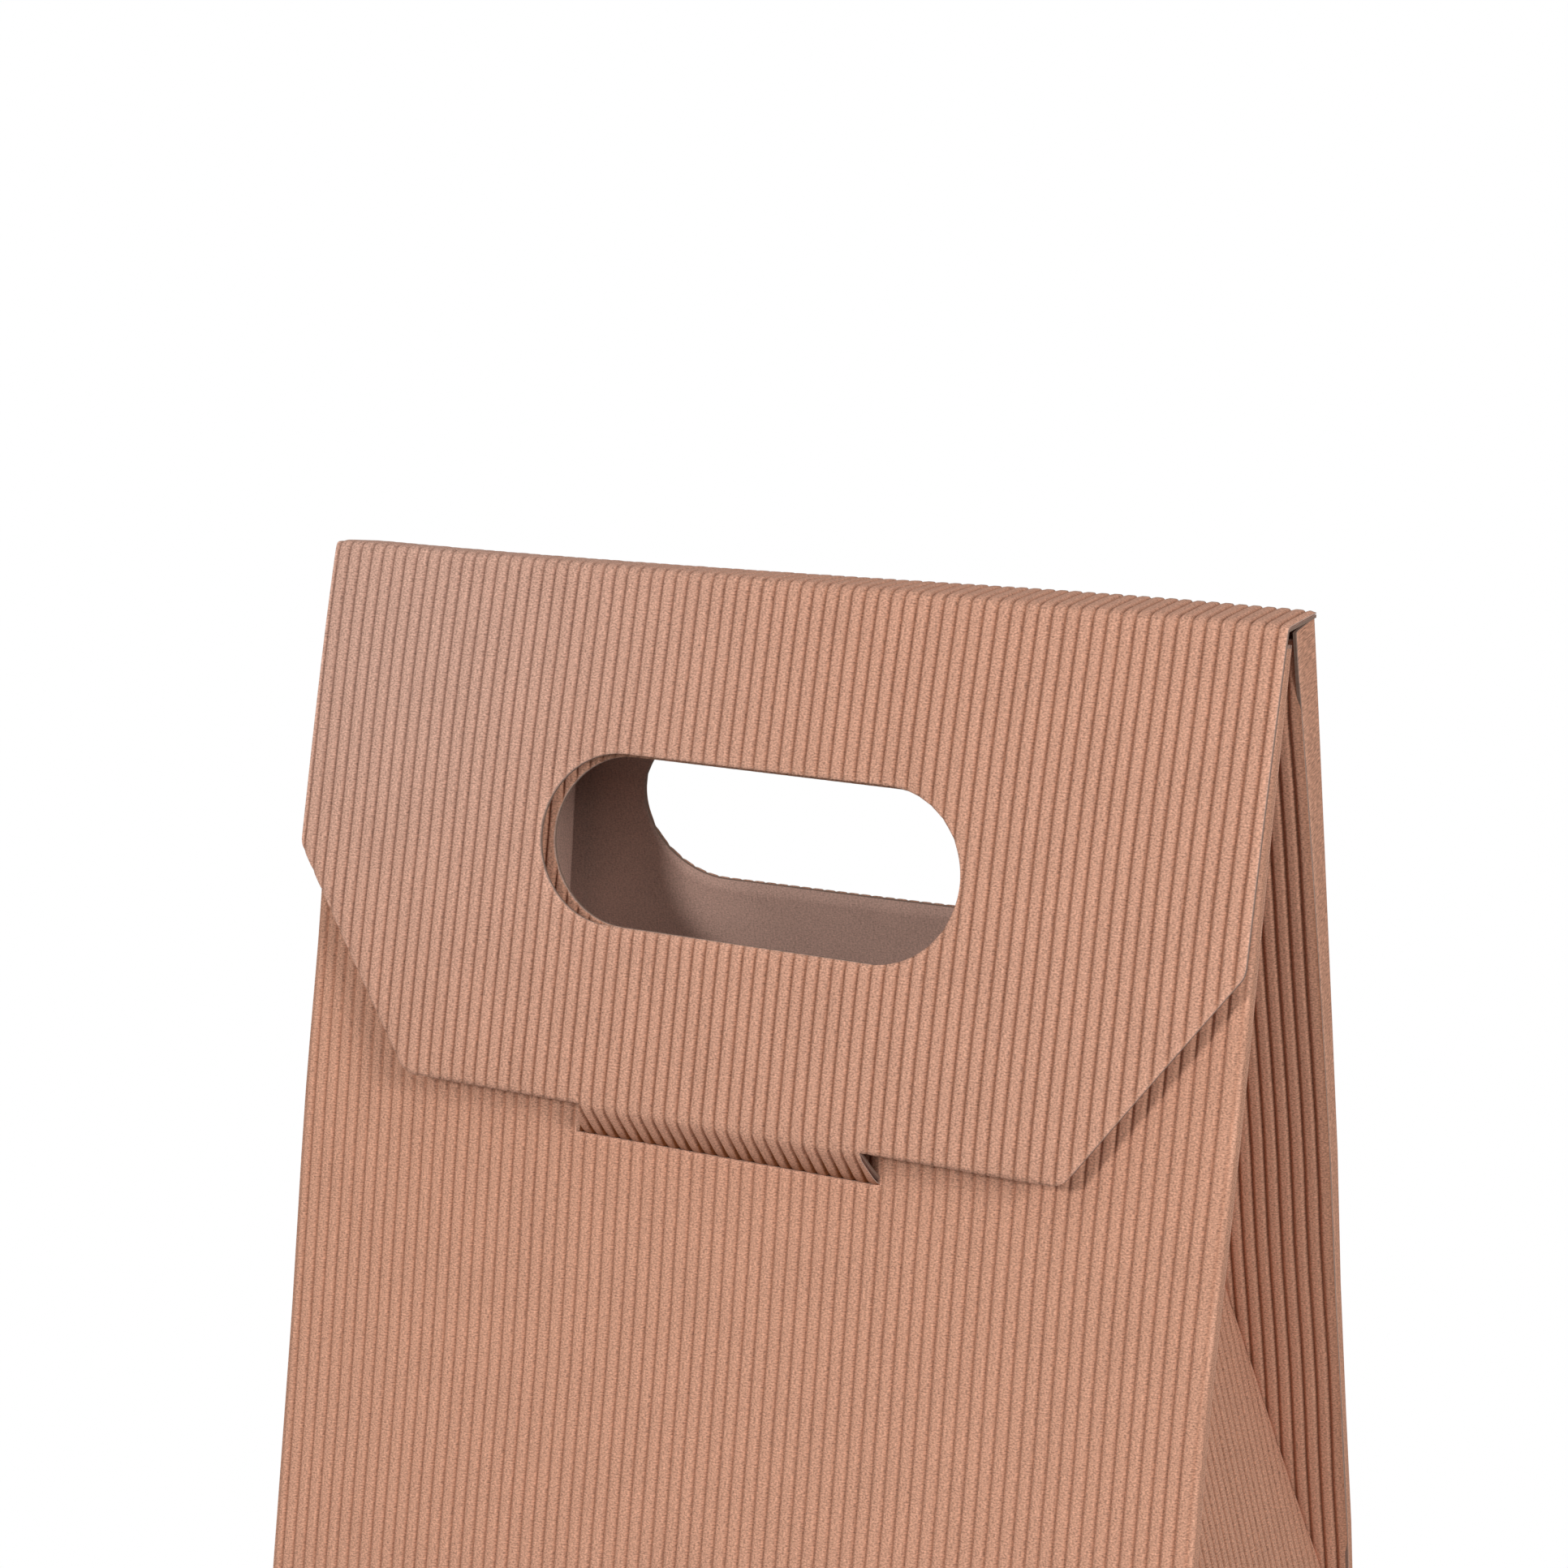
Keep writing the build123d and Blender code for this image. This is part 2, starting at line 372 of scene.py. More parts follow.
@dataclass(frozen=True)
class FoldPath:
    """A line of straight runs and rounded folds in a plane, with the direction out of the card.

    Attributes:
        along: Distance along the line at each point.
        points: Points of the line, two coordinates each.
        normals: Unit directions out of the card at the points.
        folds: Distances along the line at which the folds lie.
    """

    along: Array
    points: Array
    normals: Array
    folds: tuple[float, ...]

    @classmethod
    def through(cls, corners: Sequence[Span], radii: Sequence[float], side: float) -> "FoldPath":
        """Carries a line through its corners and rounds each corner to an arc.

        The arc of a corner turned by an angle starts one tangent length, radius times the tangent
        of half the angle, before the corner.  Distances are those of the sharp line, so sizes can
        be read off it.

        Args:
            corners: Corners of the line, in order.
            radii: Radius of each fold, at the outer face of the liner.
            side: 1 where the card's outside is right of the line's direction, -1 where it is left.

        Returns:
            The line, densely sampled on its arcs.
        """
        corner = np.asarray(corners, dtype=float)
        run = np.diff(corner, axis=0)
        length = np.linalg.norm(run, axis=1)
        heading = np.arctan2(run[:, 1], run[:, 0])
        reached = np.concatenate([[0.0], np.cumsum(length)])
        along, points, angles = [np.array([0.0])], [corner[:1]], [heading[:1]]
        share = np.linspace(0.0, 1.0, ARC_POINTS)
        for index, radius in enumerate(radii, start=1):
            turn = (heading[index] - heading[index - 1] + math.pi) % (2 * math.pi) - math.pi
            tangent = radius * math.tan(abs(turn) / 2)
            angle = heading[index - 1] + turn * share
            start = corner[index] - run[index - 1] / length[index - 1] * tangent
            left = math.copysign(1.0, turn)
            centre = start + left * radius * np.array([-math.sin(angle[0]), math.cos(angle[0])])
            arc = centre - left * radius * np.stack([-np.sin(angle), np.cos(angle)], axis=1)
            along.append(reached[index] + tangent * (2 * share - 1))
            points.append(arc)
            angles.append(angle)
        along.append(reached[-1:])
        points.append(corner[-1:])
        angles.append(heading[-1:])
        angle = np.unwrap(np.concatenate(angles))
        normals = side * np.stack([np.sin(angle), -np.cos(angle)], axis=1)
        folds = tuple(float(value) for value in reached[1:-1])
        return cls(np.concatenate(along), np.concatenate(points), normals, folds)

    def at(self, along: Array) -> tuple[Array, Array]:
        """Reads the line at given distances.

        Args:
            along: Distances along the line.

        Returns:
            Points and unit normals, with two coordinates in the last axis.
        """
        inside = np.clip(along, self.along[0], self.along[-1])
        point, normal = (
            np.stack([np.interp(inside, self.along, line) for line in lines.T], axis=-1)
            for lines in (self.points, self.normals)
        )
        return point, normal / np.linalg.norm(normal, axis=-1, keepdims=True)

    def crush(self, along: Array, depth: float, reach: float) -> Array:
        """How far the folds press the flutes flat: one minus a bell curve about each fold.

        Args:
            along: Distances along the line.
            depth: Share of the height lost on the fold itself.
            reach: Distance at which the bell has fallen to about a third.

        Returns:
            Share of the flute height that is left.
        """
        left = np.ones_like(along)
        for fold in self.folds:
            left = left * (1.0 - depth * bell(along - fold, reach))
        return left


@dataclass
class Grid:
    """A sheet of card laid out flat: places across and along the flutes, and its quads.

    Attributes:
        across: Place of each vertex across the flutes.
        along: Place of each vertex along the flutes.
        quads: Four vertex numbers a face; a corner that is doubled makes a triangle.
    """

    across: Array
    along: Array
    quads: Array

    @classmethod
    def banded(cls, columns: Array, bands: Sequence[Band]) -> "Grid":
        """Lays bands of rows on shared columns and welds them where they meet.

        Each band is a grid between two lines, low and high, that are functions of the place
        across.  Where the high line of one band and the low line of the next part, the card is
        cut open.

        Args:
            columns: Places across the flutes.
            bands: For each band its low line, its high line and the shares at which its rows lie.

        Returns:
            The welded sheet.
        """
        flat, quads, first = [], [], 0
        for low_line, high_line, shares in bands:
            low, high = low_line(columns), high_line(columns)
            along = low[None, :] + (high - low)[None, :] * shares[:, None]
            across = np.broadcast_to(columns[None, :], along.shape)
            flat.append(np.stack([across.ravel(), along.ravel()], axis=1))
            number = first + np.arange(along.size).reshape(along.shape)
            ring = [number[:-1, :-1], number[:-1, 1:], number[1:, 1:], number[1:, :-1]]
            quads.append(np.stack([corner.ravel() for corner in ring], axis=1))
            first += along.size
        return cls.welded(np.concatenate(flat), np.concatenate(quads))

    @classmethod
    def welded(cls, flat: Array, quads: Array) -> "Grid":
        """Joins vertices that lie on one another and drops faces that have no area.

        Args:
            flat: Places across and along, one row a vertex.
            quads: Four vertex numbers a face.

        Returns:
            The sheet with every place used once.
        """
        steps = np.round(flat * WELD_STEPS).astype(np.int64)
        _, keep, new = np.unique(steps, axis=0, return_index=True, return_inverse=True)
        quads = new.reshape(-1)[quads]
        same = quads == np.roll(quads, -1, axis=1)
        crossed = (quads[:, 0] == quads[:, 2]) | (quads[:, 1] == quads[:, 3])
        quads = quads[(same.sum(axis=1) < 2) & ~crossed]
        used, compact = np.unique(quads, return_inverse=True)
        place = flat[keep][used]
        return cls(place[:, 0], place[:, 1], compact.reshape(quads.shape))


@dataclass(frozen=True)
class Settling:
    """How the folded box has settled out of its exact folds.

    Attributes:
        form: The exactly folded box.
        belly: How far the front panel bellies out under the flap.
        belly_rise: Distances below the ridge over which the belly comes.
        belly_fall: Distances below the ridge over which it goes.
        spread: How far the back panel's right end stands back under the ridge.
        spread_across: Places across over which the spread comes.
        spread_heights: Heights over which it comes.
        droop: How far the ridge's back fold hangs lower, and how much further at its left end.
        droop_across: Places across over which the further droop goes.
        pinch: How far the front panel's left and right edge are pressed in.
        pinch_heights: Height of either pinch.
        pinch_reach: Distance up and down from it at which it has fallen to about a third.
        flare: How far the back panel's right edge stands out.
        flare_heights: Heights over which the flare comes.
        kick: How far the back panel's right edge stands back over the eaves.
        kick_rise: Heights over which the kick comes.
        kick_fall: Heights over which it goes.
        edge_power: Power of the place across by which an edge moves and the middle stays.
        band: How much wider the plain band at the back panel's ends is at the top.
        band_start: Height from which that band widens.
        band_run: Height over which it widens.
    """

    form: CartonForm
    belly: float = 1.6
    belly_rise: Span = (0.0, 40.0)
    belly_fall: Span = (78.0, 146.0)
    spread: float = 1.6
    spread_across: Span = (0.0, 80.0)
    spread_heights: Span = (256.0, 288.0)
    droop: Span = (0.45, 2.05)
    droop_across: Span = (-75.0, 70.0)
    pinch: Span = (0.85, 1.3)
    pinch_heights: Span = (315.0, 252.0)
    pinch_reach: Span = (28.0, 36.0)
    flare: float = 0.55
    flare_heights: Span = (180.0, 240.0)
    kick: float = 2.0
    kick_rise: Span = (168.0, 194.0)
    kick_fall: Span = (188.0, 222.0)
    edge_power: int = 6
    band: float = 4.0
    band_start: float = 236.0
    band_run: float = 140.0

    def ridge_droop(self, across: Array) -> Array:
        """How far the ridge's back fold hangs lower, by the place across."""
        return self.droop[0] + self.droop[1] * (1.0 - smooth(across, *self.droop_across))

    def ridge_spread(self, across: Array) -> Array:
        """How far the ridge's back fold stands further back, by the place across."""
        return self.spread * smooth(across, *self.spread_across)

    def extra_band(self, height: Array) -> Array:
        """How much wider the back panel's plain end bands are, by the height over the base."""
        return self.band * np.clip((height - self.band_start) / self.band_run, 0.0, 1.0)

    def moved(self, points: Array) -> Array:
        """Moves points of the box.

        The front panel's belly and the back panel's spread fall off in proportion to the depth, so
        that they are nothing on the middle plane.  The droop grows with the square of the height
        over the wall, the pinch is a bell curve of the height at each edge, and the kick is a
        smooth step up and down again.

        Args:
            points: Points of the exactly folded box.

        Returns:
            The points moved.
        """
        form = self.form
        x, y, z = points.T
        rise = np.clip((z - form.wall) / (form.ridge_top - form.wall), 0.0, 1.0)
        half = form.half_depth + (form.half_gap - form.half_depth) * rise
        front, back = (np.clip(sign * y / half, 0.0, 1.0) for sign in (-1.0, 1.0))
        edges = [np.clip(sign * x / form.half_width, 0.0, 1.0) for sign in (-1.0, 1.0)]
        left, right = (edge**self.edge_power for edge in edges)
        belly = self.belly * hump(form.ridge_top - z, self.belly_rise, self.belly_fall)
        spread = self.ridge_spread(x) * smooth(z, *self.spread_heights)
        spread = spread + self.kick * right * hump(z, self.kick_rise, self.kick_fall)
        left_pinch, right_pinch = (
            amount * bell(z - height, reach)
            for amount, height, reach in zip(self.pinch, self.pinch_heights, self.pinch_reach)
        )
        inwards = left_pinch * left - right_pinch * right
        outwards = self.flare * right * smooth(z, *self.flare_heights)
        sink = back * rise**2 * self.ridge_droop(x)
        moved = [x + inwards * front + outwards * back, y - belly * front + spread * back, z - sink]
        return np.stack(moved, axis=1)


@dataclass
class Shell:
    """A closed sheet with thickness.

    Attributes:
        points: Vertices in millimetres, outer face first and inner face after it.
        faces: Faces with four corners.
        triangles: Faces with three corners.
        cut_faces: How many of the last quads are cut edges.
        flat: Places across and along at the vertices, for the paper's own texture.
        tone: Tone of the paper at the vertices, 0 in a valley, 1 on a crest, more where worn pale
            or painted with highlight, less where painted with shade.
    """

    points: Array
    faces: Array
    triangles: Array
    cut_faces: int
    flat: Array
    tone: Array

    @classmethod
    def between(cls, grid: Grid, outer: Array, inner: Array, tone: Array) -> "Shell":
        """Closes the space between two faces of a sheet along every cut.

        An edge of a face that no other face runs back along is a cut, and gets a quad down to the
        inner face.

        Args:
            grid: The sheet laid out flat.
            outer: Points of the outer face.
            inner: Points of the inner face.
            tone: Tone of the paper at the points.

        Returns:
            The closed sheet, with its faces turned outwards.
        """
        quads, count = grid.quads, len(outer)
        first, second, third, fourth = quads[:: max(1, len(quads) // FACING_SAMPLES)].T
        normal = np.cross(outer[second] - outer[fourth], outer[third] - outer[first])
        if np.sum(normal * (outer - inner)[first]) < 0:
            quads = quads[:, ::-1]
        edges = np.stack([quads, np.roll(quads, -1, axis=1)], axis=2).reshape(-1, 2)
        edges = edges[edges[:, 0] != edges[:, 1]]
        forward = edges[:, 0].astype(np.int64) * count + edges[:, 1]
        backward = edges[:, 1].astype(np.int64) * count + edges[:, 0]
        cut = edges[~np.isin(forward, backward)]
        rim = np.stack([cut[:, 1], cut[:, 0], cut[:, 0] + count, cut[:, 1] + count], axis=1)
        doubled = quads == np.roll(quads, -1, axis=1)
        is_triangle = doubled.any(axis=1)
        order = (np.argmax(doubled[is_triangle], axis=1)[:, None] + 1 + np.arange(3)) % 4
        thirds = np.take_along_axis(quads[is_triangle], order, axis=1)
        fours = quads[~is_triangle]
        flat = np.stack([grid.across, grid.along], axis=1)
        return cls(
            points=np.concatenate([outer, inner]),
            faces=np.concatenate([fours, fours[:, ::-1] + count, rim]),
            triangles=np.concatenate([thirds, thirds[:, ::-1] + count]),
            cut_faces=len(rim),
            flat=np.concatenate([flat, flat]),
            tone=np.concatenate([tone, tone]),
        )

    @classmethod
    def joined(cls, shells: Sequence["Shell"]) -> "Shell":
        """Puts several sheets into one, with all cut edges last among the quads.

        Args:
            shells: The sheets.

        Returns:
            One shell that holds them all.
        """
        starts = np.concatenate([[0], np.cumsum([len(shell.points) for shell in shells])[:-1]])
        whole, rims, thirds = [], [], []
        for shell, start in zip(shells, starts):
            first_cut = len(shell.faces) - shell.cut_faces
            whole.append(shell.faces[:first_cut] + start)
            rims.append(shell.faces[first_cut:] + start)
            thirds.append(shell.triangles + start)
        return cls(
            points=np.concatenate([shell.points for shell in shells]),
            faces=np.concatenate(whole + rims),
            triangles=np.concatenate(thirds),
            cut_faces=sum(shell.cut_faces for shell in shells),
            flat=np.concatenate([shell.flat for shell in shells]),
            tone=np.concatenate([shell.tone for shell in shells]),
        )

    def to_object(self, name: str, finishes: Sequence[Material]) -> Piece:
        """Makes the mesh and its object.

        Args:
            name: Name of the piece.
            finishes: Finish of the faces, and finish of the cut edges.

        Returns:
            The object, at the origin of the frame.
        """
        mesh = bpy.data.meshes.new(name)
        corners = np.concatenate([self.faces.ravel(), self.triangles.ravel()]).astype(np.int32)
        sizes = np.concatenate([np.full(len(self.faces), 4), np.full(len(self.triangles), 3)])
        starts = np.concatenate([[0], np.cumsum(sizes)[:-1]]).astype(np.int32)
        points, flat = (
            (places * METRES_PER_MM).astype(np.float32).ravel()
            for places in (self.points, self.flat[corners])
        )
        mesh.vertices.add(len(self.points))
        mesh.vertices.foreach_set("co", points)
        mesh.loops.add(len(corners))
        mesh.polygons.add(len(sizes))
        mesh.polygons.foreach_set("loop_start", starts)
        mesh.polygons.foreach_set("vertices", corners)
        is_cut = np.zeros(len(sizes), dtype=bool)
        is_cut[len(self.faces) - self.cut_faces : len(self.faces)] = True
        mesh.polygons.foreach_set("material_index", is_cut.astype(np.int32))
        mesh.polygons.foreach_set("use_smooth", ~is_cut)
        mesh.update(calc_edges=True)
        mesh.uv_layers.new(name=SHEET_MAP).uv.foreach_set("vector", flat)
        tone = mesh.attributes.new(TONE, "FLOAT", "POINT")
        tone.data.foreach_set("value", self.tone.astype(np.float32))
        for finish in finishes:
            mesh.materials.append(finish)
        mesh.validate()
        piece = bpy.data.objects.new(name, mesh)
        bpy.context.scene.collection.objects.link(piece)
        return piece


# Finishes


class NodeDesk:
    """Small helper that lays out the nodes of one material."""

    def __init__(self, name: str) -> None:
        """Makes an empty node material with its shader and output.

        Args:
            name: Name of the material.
        """
        self.material = bpy.data.materials.new(name)
        self.material.use_nodes = True
        self.tree = self.material.node_tree
        self.tree.nodes.clear()
        self.shader = self.tree.nodes.new("ShaderNodeBsdfPrincipled")
        output = self.tree.nodes.new("ShaderNodeOutputMaterial")
        self.join(self.shader.outputs["BSDF"], output.inputs["Surface"])

    def join(self, start: Socket, end: Socket) -> None:
        """Links two sockets."""
        self.tree.links.new(start, end)

    def feed(self, slot: Socket, value: Socket | float | Triple) -> None:
        """Links a slot to a socket, or sets it to a plain value.

        Args:
            slot: The slot of a node.
            value: A socket, a number or three numbers.
        """
        if isinstance(value, Socket):
            self.join(value, slot)
        else:
            slot.default_value = value

    def math(self, operation: str, *values: Socket | float) -> Socket:
        """Adds a math node.

        Args:
            operation: Blender's name of the operation.
            values: Sockets or numbers, one for each slot that the operation reads.

        Returns:
            The result's socket.
        """
        node = self.tree.nodes.new("ShaderNodeMath")
        node.operation = operation
        for slot, value in zip(node.inputs, values):
            self.feed(slot, value)
        return node.outputs["Value"]

    def vector(
        self, operation: str, first: Socket | Triple, second: Socket | float | Triple | None = None
    ) -> bpy.types.Node:
        """Adds a vector math node.

        Args:
            operation: Blender's name of the operation.
            first: A socket or three numbers.
            second: A socket or three numbers, a factor for SCALE, or None where none is read.

        Returns:
            The node.
        """
        node = self.tree.nodes.new("ShaderNodeVectorMath")
        node.operation = operation
        self.feed(node.inputs[0], first)
        if second is not None:
            self.feed(node.inputs["Scale" if operation == "SCALE" else 1], second)
        return node

    def noise(self, place: Socket, scale: float, octaves: float) -> Socket:
        """Adds a noise texture.

        Args:
            place: Coordinates.
            scale: Features in one unit of the coordinates.
            octaves: Octaves.

        Returns:
            The noise's value socket.
        """
        node = self.tree.nodes.new("ShaderNodeTexNoise")
        node.inputs["Scale"].default_value = scale
        node.inputs["Detail"].default_value = octaves
        node.inputs["Roughness"].default_value = NOISE_ROUGHNESS
        self.join(place, node.inputs["Vector"])
        return node.outputs["Fac"]

    def turned(self, place: Socket, angle: float, stretch: Triple) -> Socket:
        """Turns and stretches coordinates, for fibres that lie one way.

        Args:
            place: Coordinates.
            angle: Turn about the sheet's normal, in degrees.
            stretch: Scale along the three axes.

        Returns:
            The new coordinates.
        """
        node = self.tree.nodes.new("ShaderNodeMapping")
        node.inputs["Rotation"].default_value = (0.0, 0.0, math.radians(angle))
        node.inputs["Scale"].default_value = stretch
        self.join(place, node.inputs["Vector"])
        return node.outputs["Vector"]

    def sheet_place(self) -> Socket:
        """Reads the places on the flat sheet from the mesh.

        Returns:
            The coordinates, in millimetres.
        """
        node = self.tree.nodes.new("ShaderNodeUVMap")
        node.uv_map = SHEET_MAP
        return self.tint(node.outputs["UV"], 1.0 / METRES_PER_MM)

    def attribute(self, name: str) -> Socket:
        """Reads a float attribute of the mesh.

        Args:
            name: Name of the attribute.

        Returns:
            The value's socket.
        """
        node = self.tree.nodes.new("ShaderNodeAttribute")
        node.attribute_name = name
        return node.outputs["Fac"]

    def vary(self, total: Socket | float, noise: Socket, amount: float) -> Socket:
        """Adds to a factor an amount of a noise, less the noise's middle of one half."""
        return self.math("MULTIPLY_ADD", self.math("SUBTRACT", noise, 0.5), amount, total)

    def tint(self, colour: Socket | Triple, strength: Socket | float) -> Socket:
        """A colour, or any three numbers, times a factor."""
        return self.vector("SCALE", colour, strength).outputs["Vector"]

    def fade(self, distance: Socket, whole: float, gone: float) -> Socket:
        """Fades out smoothly with a distance.

        Args:
            distance: The distance.
            whole: Distance up to which the result is 1.
            gone: Distance from which on it is 0.

        Returns:
            The result's socket.
        """
        node = self.tree.nodes.new("ShaderNodeMapRange")
        node.interpolation_type = "SMOOTHSTEP"
        limits = {"From Min": whole, "From Max": gone, "To Min": 1.0, "To Max": 0.0}
        for name, value in limits.items():
            node.inputs[name].default_value = value
        self.join(distance, node.inputs["Value"])
        return node.outputs["Result"]

    def between(self, share: Socket, low: Triple, high: Triple) -> Socket:
        """Goes from one linear colour, at a share of 0, to another, at 1, and on past it."""
        step = tuple(end - start for start, end in zip(low, high))
        return self.vector("ADD", low, self.tint(step, share)).outputs["Vector"]

    def bump(self, height: Socket, strength: float, distance: float) -> None:
        """Adds fine relief to the shader.

        Args:
            height: Height of the relief, from 0 to 1.
            strength: How strongly it shows.
            distance: Height of 1, in metres.
        """
        node = self.tree.nodes.new("ShaderNodeBump")
        node.inputs["Strength"].default_value = strength
        node.inputs["Distance"].default_value = distance
        self.join(height, node.inputs["Height"])
        self.join(node.outputs["Normal"], self.shader.inputs["Normal"])


@dataclass(frozen=True)
class PaperNoise:
    """One noise in the paper, on the flat sheet.

    Attributes:
        scale: Features in a millimetre.
        octaves: Octaves of the noise.
        stretch: Scale along the sheet's axes, or None to leave them as they are.
        angle: Turn on the sheet, in degrees.
    """

    scale: float
    octaves: float
    stretch: Triple | None = None
    angle: float = 0.0

    def lay(self, desk: NodeDesk, place: Socket) -> Socket:
        """Adds the noise to a material.

        Args:
            desk: The material's nodes.
            place: Coordinates on the flat sheet.

        Returns:
            The noise's value socket.
        """
        if self.stretch is not None:
            place = desk.turned(place, self.angle, self.stretch)
        return desk.noise(place, self.scale, self.octaves)


# Two lays of fibres that cross each other, fine grain, cloudy patches, dark flecks, torn edges
FIBRES = (PaperNoise(1.1, 3.0, (3.2, 0.8, 1.0), 12.0), PaperNoise(1.0, 3.0, (3.4, 0.7, 1.0), -63.0))
GRAIN = PaperNoise(3.0, 1.0, (0.8, 1.2, 1.0))
CLOUDS = PaperNoise(0.09, 4.0)
FLECKS = PaperNoise(2.3, 1.0)
TORN = PaperNoise(3.0, 3.0)


@dataclass(frozen=True)
class KraftFinish:
    """Brown kraft paper with fibres and flecks, and valleys darkened by glue and by painted shade.

    Attributes:
        name: Name of the material.
        colour: Linear colour of a lit crest.
        valley: Linear colour of a valley, darker partly for glue and partly as painted shade.
        fibre: Contrast of the fibres.
        grain: Contrast of the fine grain.
        mottle: Contrast of the cloudy patches.
        fleck: Contrast of the dark flecks.
        fleck_cut: Value of the noise above which a fleck starts.
        fleck_blend: How softly a fleck starts.
        relief: How strongly the fibres' relief shows.
        relief_height: Height of that relief, in metres.
        roughness: Roughness of the paper.
        specular: Specular level of the paper.
        painted_glare: Linear colour of a painted glare, a pale patch of reflected light on the
            sheet, or None.
        painted_glare_place: Middle of the painted glare on the flat sheet, in millimetres.
        painted_glare_reach: Distance at which the painted glare has faded out, in millimetres.
    """

    name: str
    colour: Triple
    valley: Triple
    fibre: float = 0.84
    grain: float = 1.8
    mottle: float = 0.16
    fleck: float = 1.6
    fleck_cut: float = 0.70
    fleck_blend: float = 0.02
    relief: float = 0.22
    relief_height: float = 0.00006
    roughness: float = 0.86
    specular: float = 0.25
    painted_glare: Triple | None = None
    painted_glare_place: Triple = (-78.0, 22.0, 0.0)
    painted_glare_reach: float = 105.0

    def paper(self, desk: NodeDesk, place: Socket) -> Socket:
        """Colour of the paper: from the valley's to the crest's by tone, plus any painted glare.

        Args:
            desk: The material's nodes.
            place: Coordinates on the flat sheet.

        Returns:
            The colour's socket.
        """
        # Valleys get the darker colour: partly glue lines, partly painted shade.
        colour = desk.between(desk.attribute(TONE), self.valley, self.colour)
        if self.painted_glare is None:
            return colour
        # Painted glare: a pale, cool patch of reflected light, fading out from its middle.
        apart = desk.vector("DISTANCE", place, self.painted_glare_place).outputs["Value"]
        bloom = desk.tint(self.painted_glare, desk.fade(apart, 0.0, self.painted_glare_reach))
        return desk.vector("ADD", colour, bloom).outputs["Vector"]

    def make(self) -> Material:
        """Builds the node material.

        The paper's colour times a factor: one, plus the mean of the two lays of fibres, plus the
        grain, plus the cloudy patches, less the flecks, which are a noise cut off high.

        Returns:
            The material.
        """
        desk = NodeDesk(self.name)
        place = desk.sheet_place()
        one_lay, other_lay = (lay.lay(desk, place) for lay in FIBRES)
        fibres = desk.math("MULTIPLY_ADD", one_lay, 0.5, desk.math("MULTIPLY", other_lay, 0.5))
        strength = desk.vary(1.0, fibres, self.fibre)
        strength = desk.vary(strength, GRAIN.lay(desk, place), self.grain)
        strength = desk.vary(strength, CLOUDS.lay(desk, place), self.mottle)
        above = desk.math("SUBTRACT", FLECKS.lay(desk, place), self.fleck_cut)
        flecks = desk.math("SMOOTH_MAX", above, 0.0, self.fleck_blend)
        strength = desk.math("MULTIPLY_ADD", flecks, -self.fleck, strength)
        colour = desk.tint(self.paper(desk, place), strength)
        desk.join(colour, desk.shader.inputs["Base Color"])
        desk.shader.inputs["Roughness"].default_value = self.roughness
        desk.shader.inputs["Specular IOR Level"].default_value = self.specular
        desk.bump(fibres, self.relief, self.relief_height)
        return desk.material


@dataclass(frozen=True)
class CutEdgeFinish:
    """Rough paper at a die-cut edge; the liner's is made dark as painted shade.

    Attributes:
        name: Name of the material.
        colour: Linear colour.
        uneven: Contrast of the torn fibres.
        roughness: Roughness of the torn fibres.
        specular: Specular level of the torn fibres.
    """

    name: str
    colour: Triple
    uneven: float = 0.7
    roughness: float = 0.95
    specular: float = 0.15

    def make(self) -> Material:
        """Builds the node material: the colour, made uneven by one fine noise.

        Returns:
            The material.
        """
        desk = NodeDesk(self.name)
        strength = desk.vary(1.0, TORN.lay(desk, desk.sheet_place()), self.uneven)
        desk.join(desk.tint(self.colour, strength), desk.shader.inputs["Base Color"])
        desk.shader.inputs["Roughness"].default_value = self.roughness
        desk.shader.inputs["Specular IOR Level"].default_value = self.specular
        return desk.material


KRAFT_FLUTED = KraftFinish(
    "kraft_fluted", colour=(0.615, 0.322, 0.216), valley=(0.38, 0.171, 0.101)
)
# The flap's paper carries a painted glare, a pale, cool patch of reflected light at its upper left.
KRAFT_FLAP = KraftFinish(
    "kraft_fluted_flap_painted_glare",
    colour=(0.615, 0.33, 0.228),
    valley=(0.38, 0.175, 0.106),
    painted_glare=(-0.005, 0.035, 0.05),
)
KRAFT_LINER = KraftFinish(
    "kraft_liner",
    colour=(0.61, 0.39, 0.315),
    valley=(0.42, 0.26, 0.21),
    fibre=0.8,
    grain=1.0,
    mottle=0.3,
)
CUT_PAPER = CutEdgeFinish("cut_paper", (0.55, 0.40, 0.33))
# The liner's cut edges are dark as painted shade: the shadow of the thin gaps between the sheets.
CUT_LINER_PAINTED_SHADE = CutEdgeFinish("cut_liner_painted_shade", (0.27, 0.18, 0.14))


@dataclass
class Finishes:
    """The finishes that the pieces share.

    Attributes:
        outside: Fluted sheet of the box.
        flap: Fluted sheet of the closure flap, with a painted glare at its upper left.
        inside: Liner sheet.
        edge: Cut edges of the fluted sheet.
        inside_edge: Cut edges of the liner, dark as painted shade of the gaps beside them.
    """

    outside: Material = field(default_factory=KRAFT_FLUTED.make)
    flap: Material = field(default_factory=KRAFT_FLAP.make)
    inside: Material = field(default_factory=KRAFT_LINER.make)
    edge: Material = field(default_factory=CUT_PAPER.make)
    inside_edge: Material = field(default_factory=CUT_LINER_PAINTED_SHADE.make)

    def of(self, ply: Ply, body: Body) -> list[Material]:
        """Picks the finishes of a sheet.

        Args:
            ply: Which sheet of the card it is.
            body: Body that it rides on.

        Returns:
            Finish of its faces, then of its cut edges.
        """
        if ply is Ply.LINER:
            return [self.inside, self.inside_edge]
        return [self.flap if body is Body.FLAP else self.outside, self.edge]


# The card panels


def left_of(distance: Array, crush: Span) -> Array:
    """Share of the flutes' height that a pressed line leaves: one minus a bell curve about it."""
    depth, reach = crush
    return 1.0 - depth * bell(distance, reach)


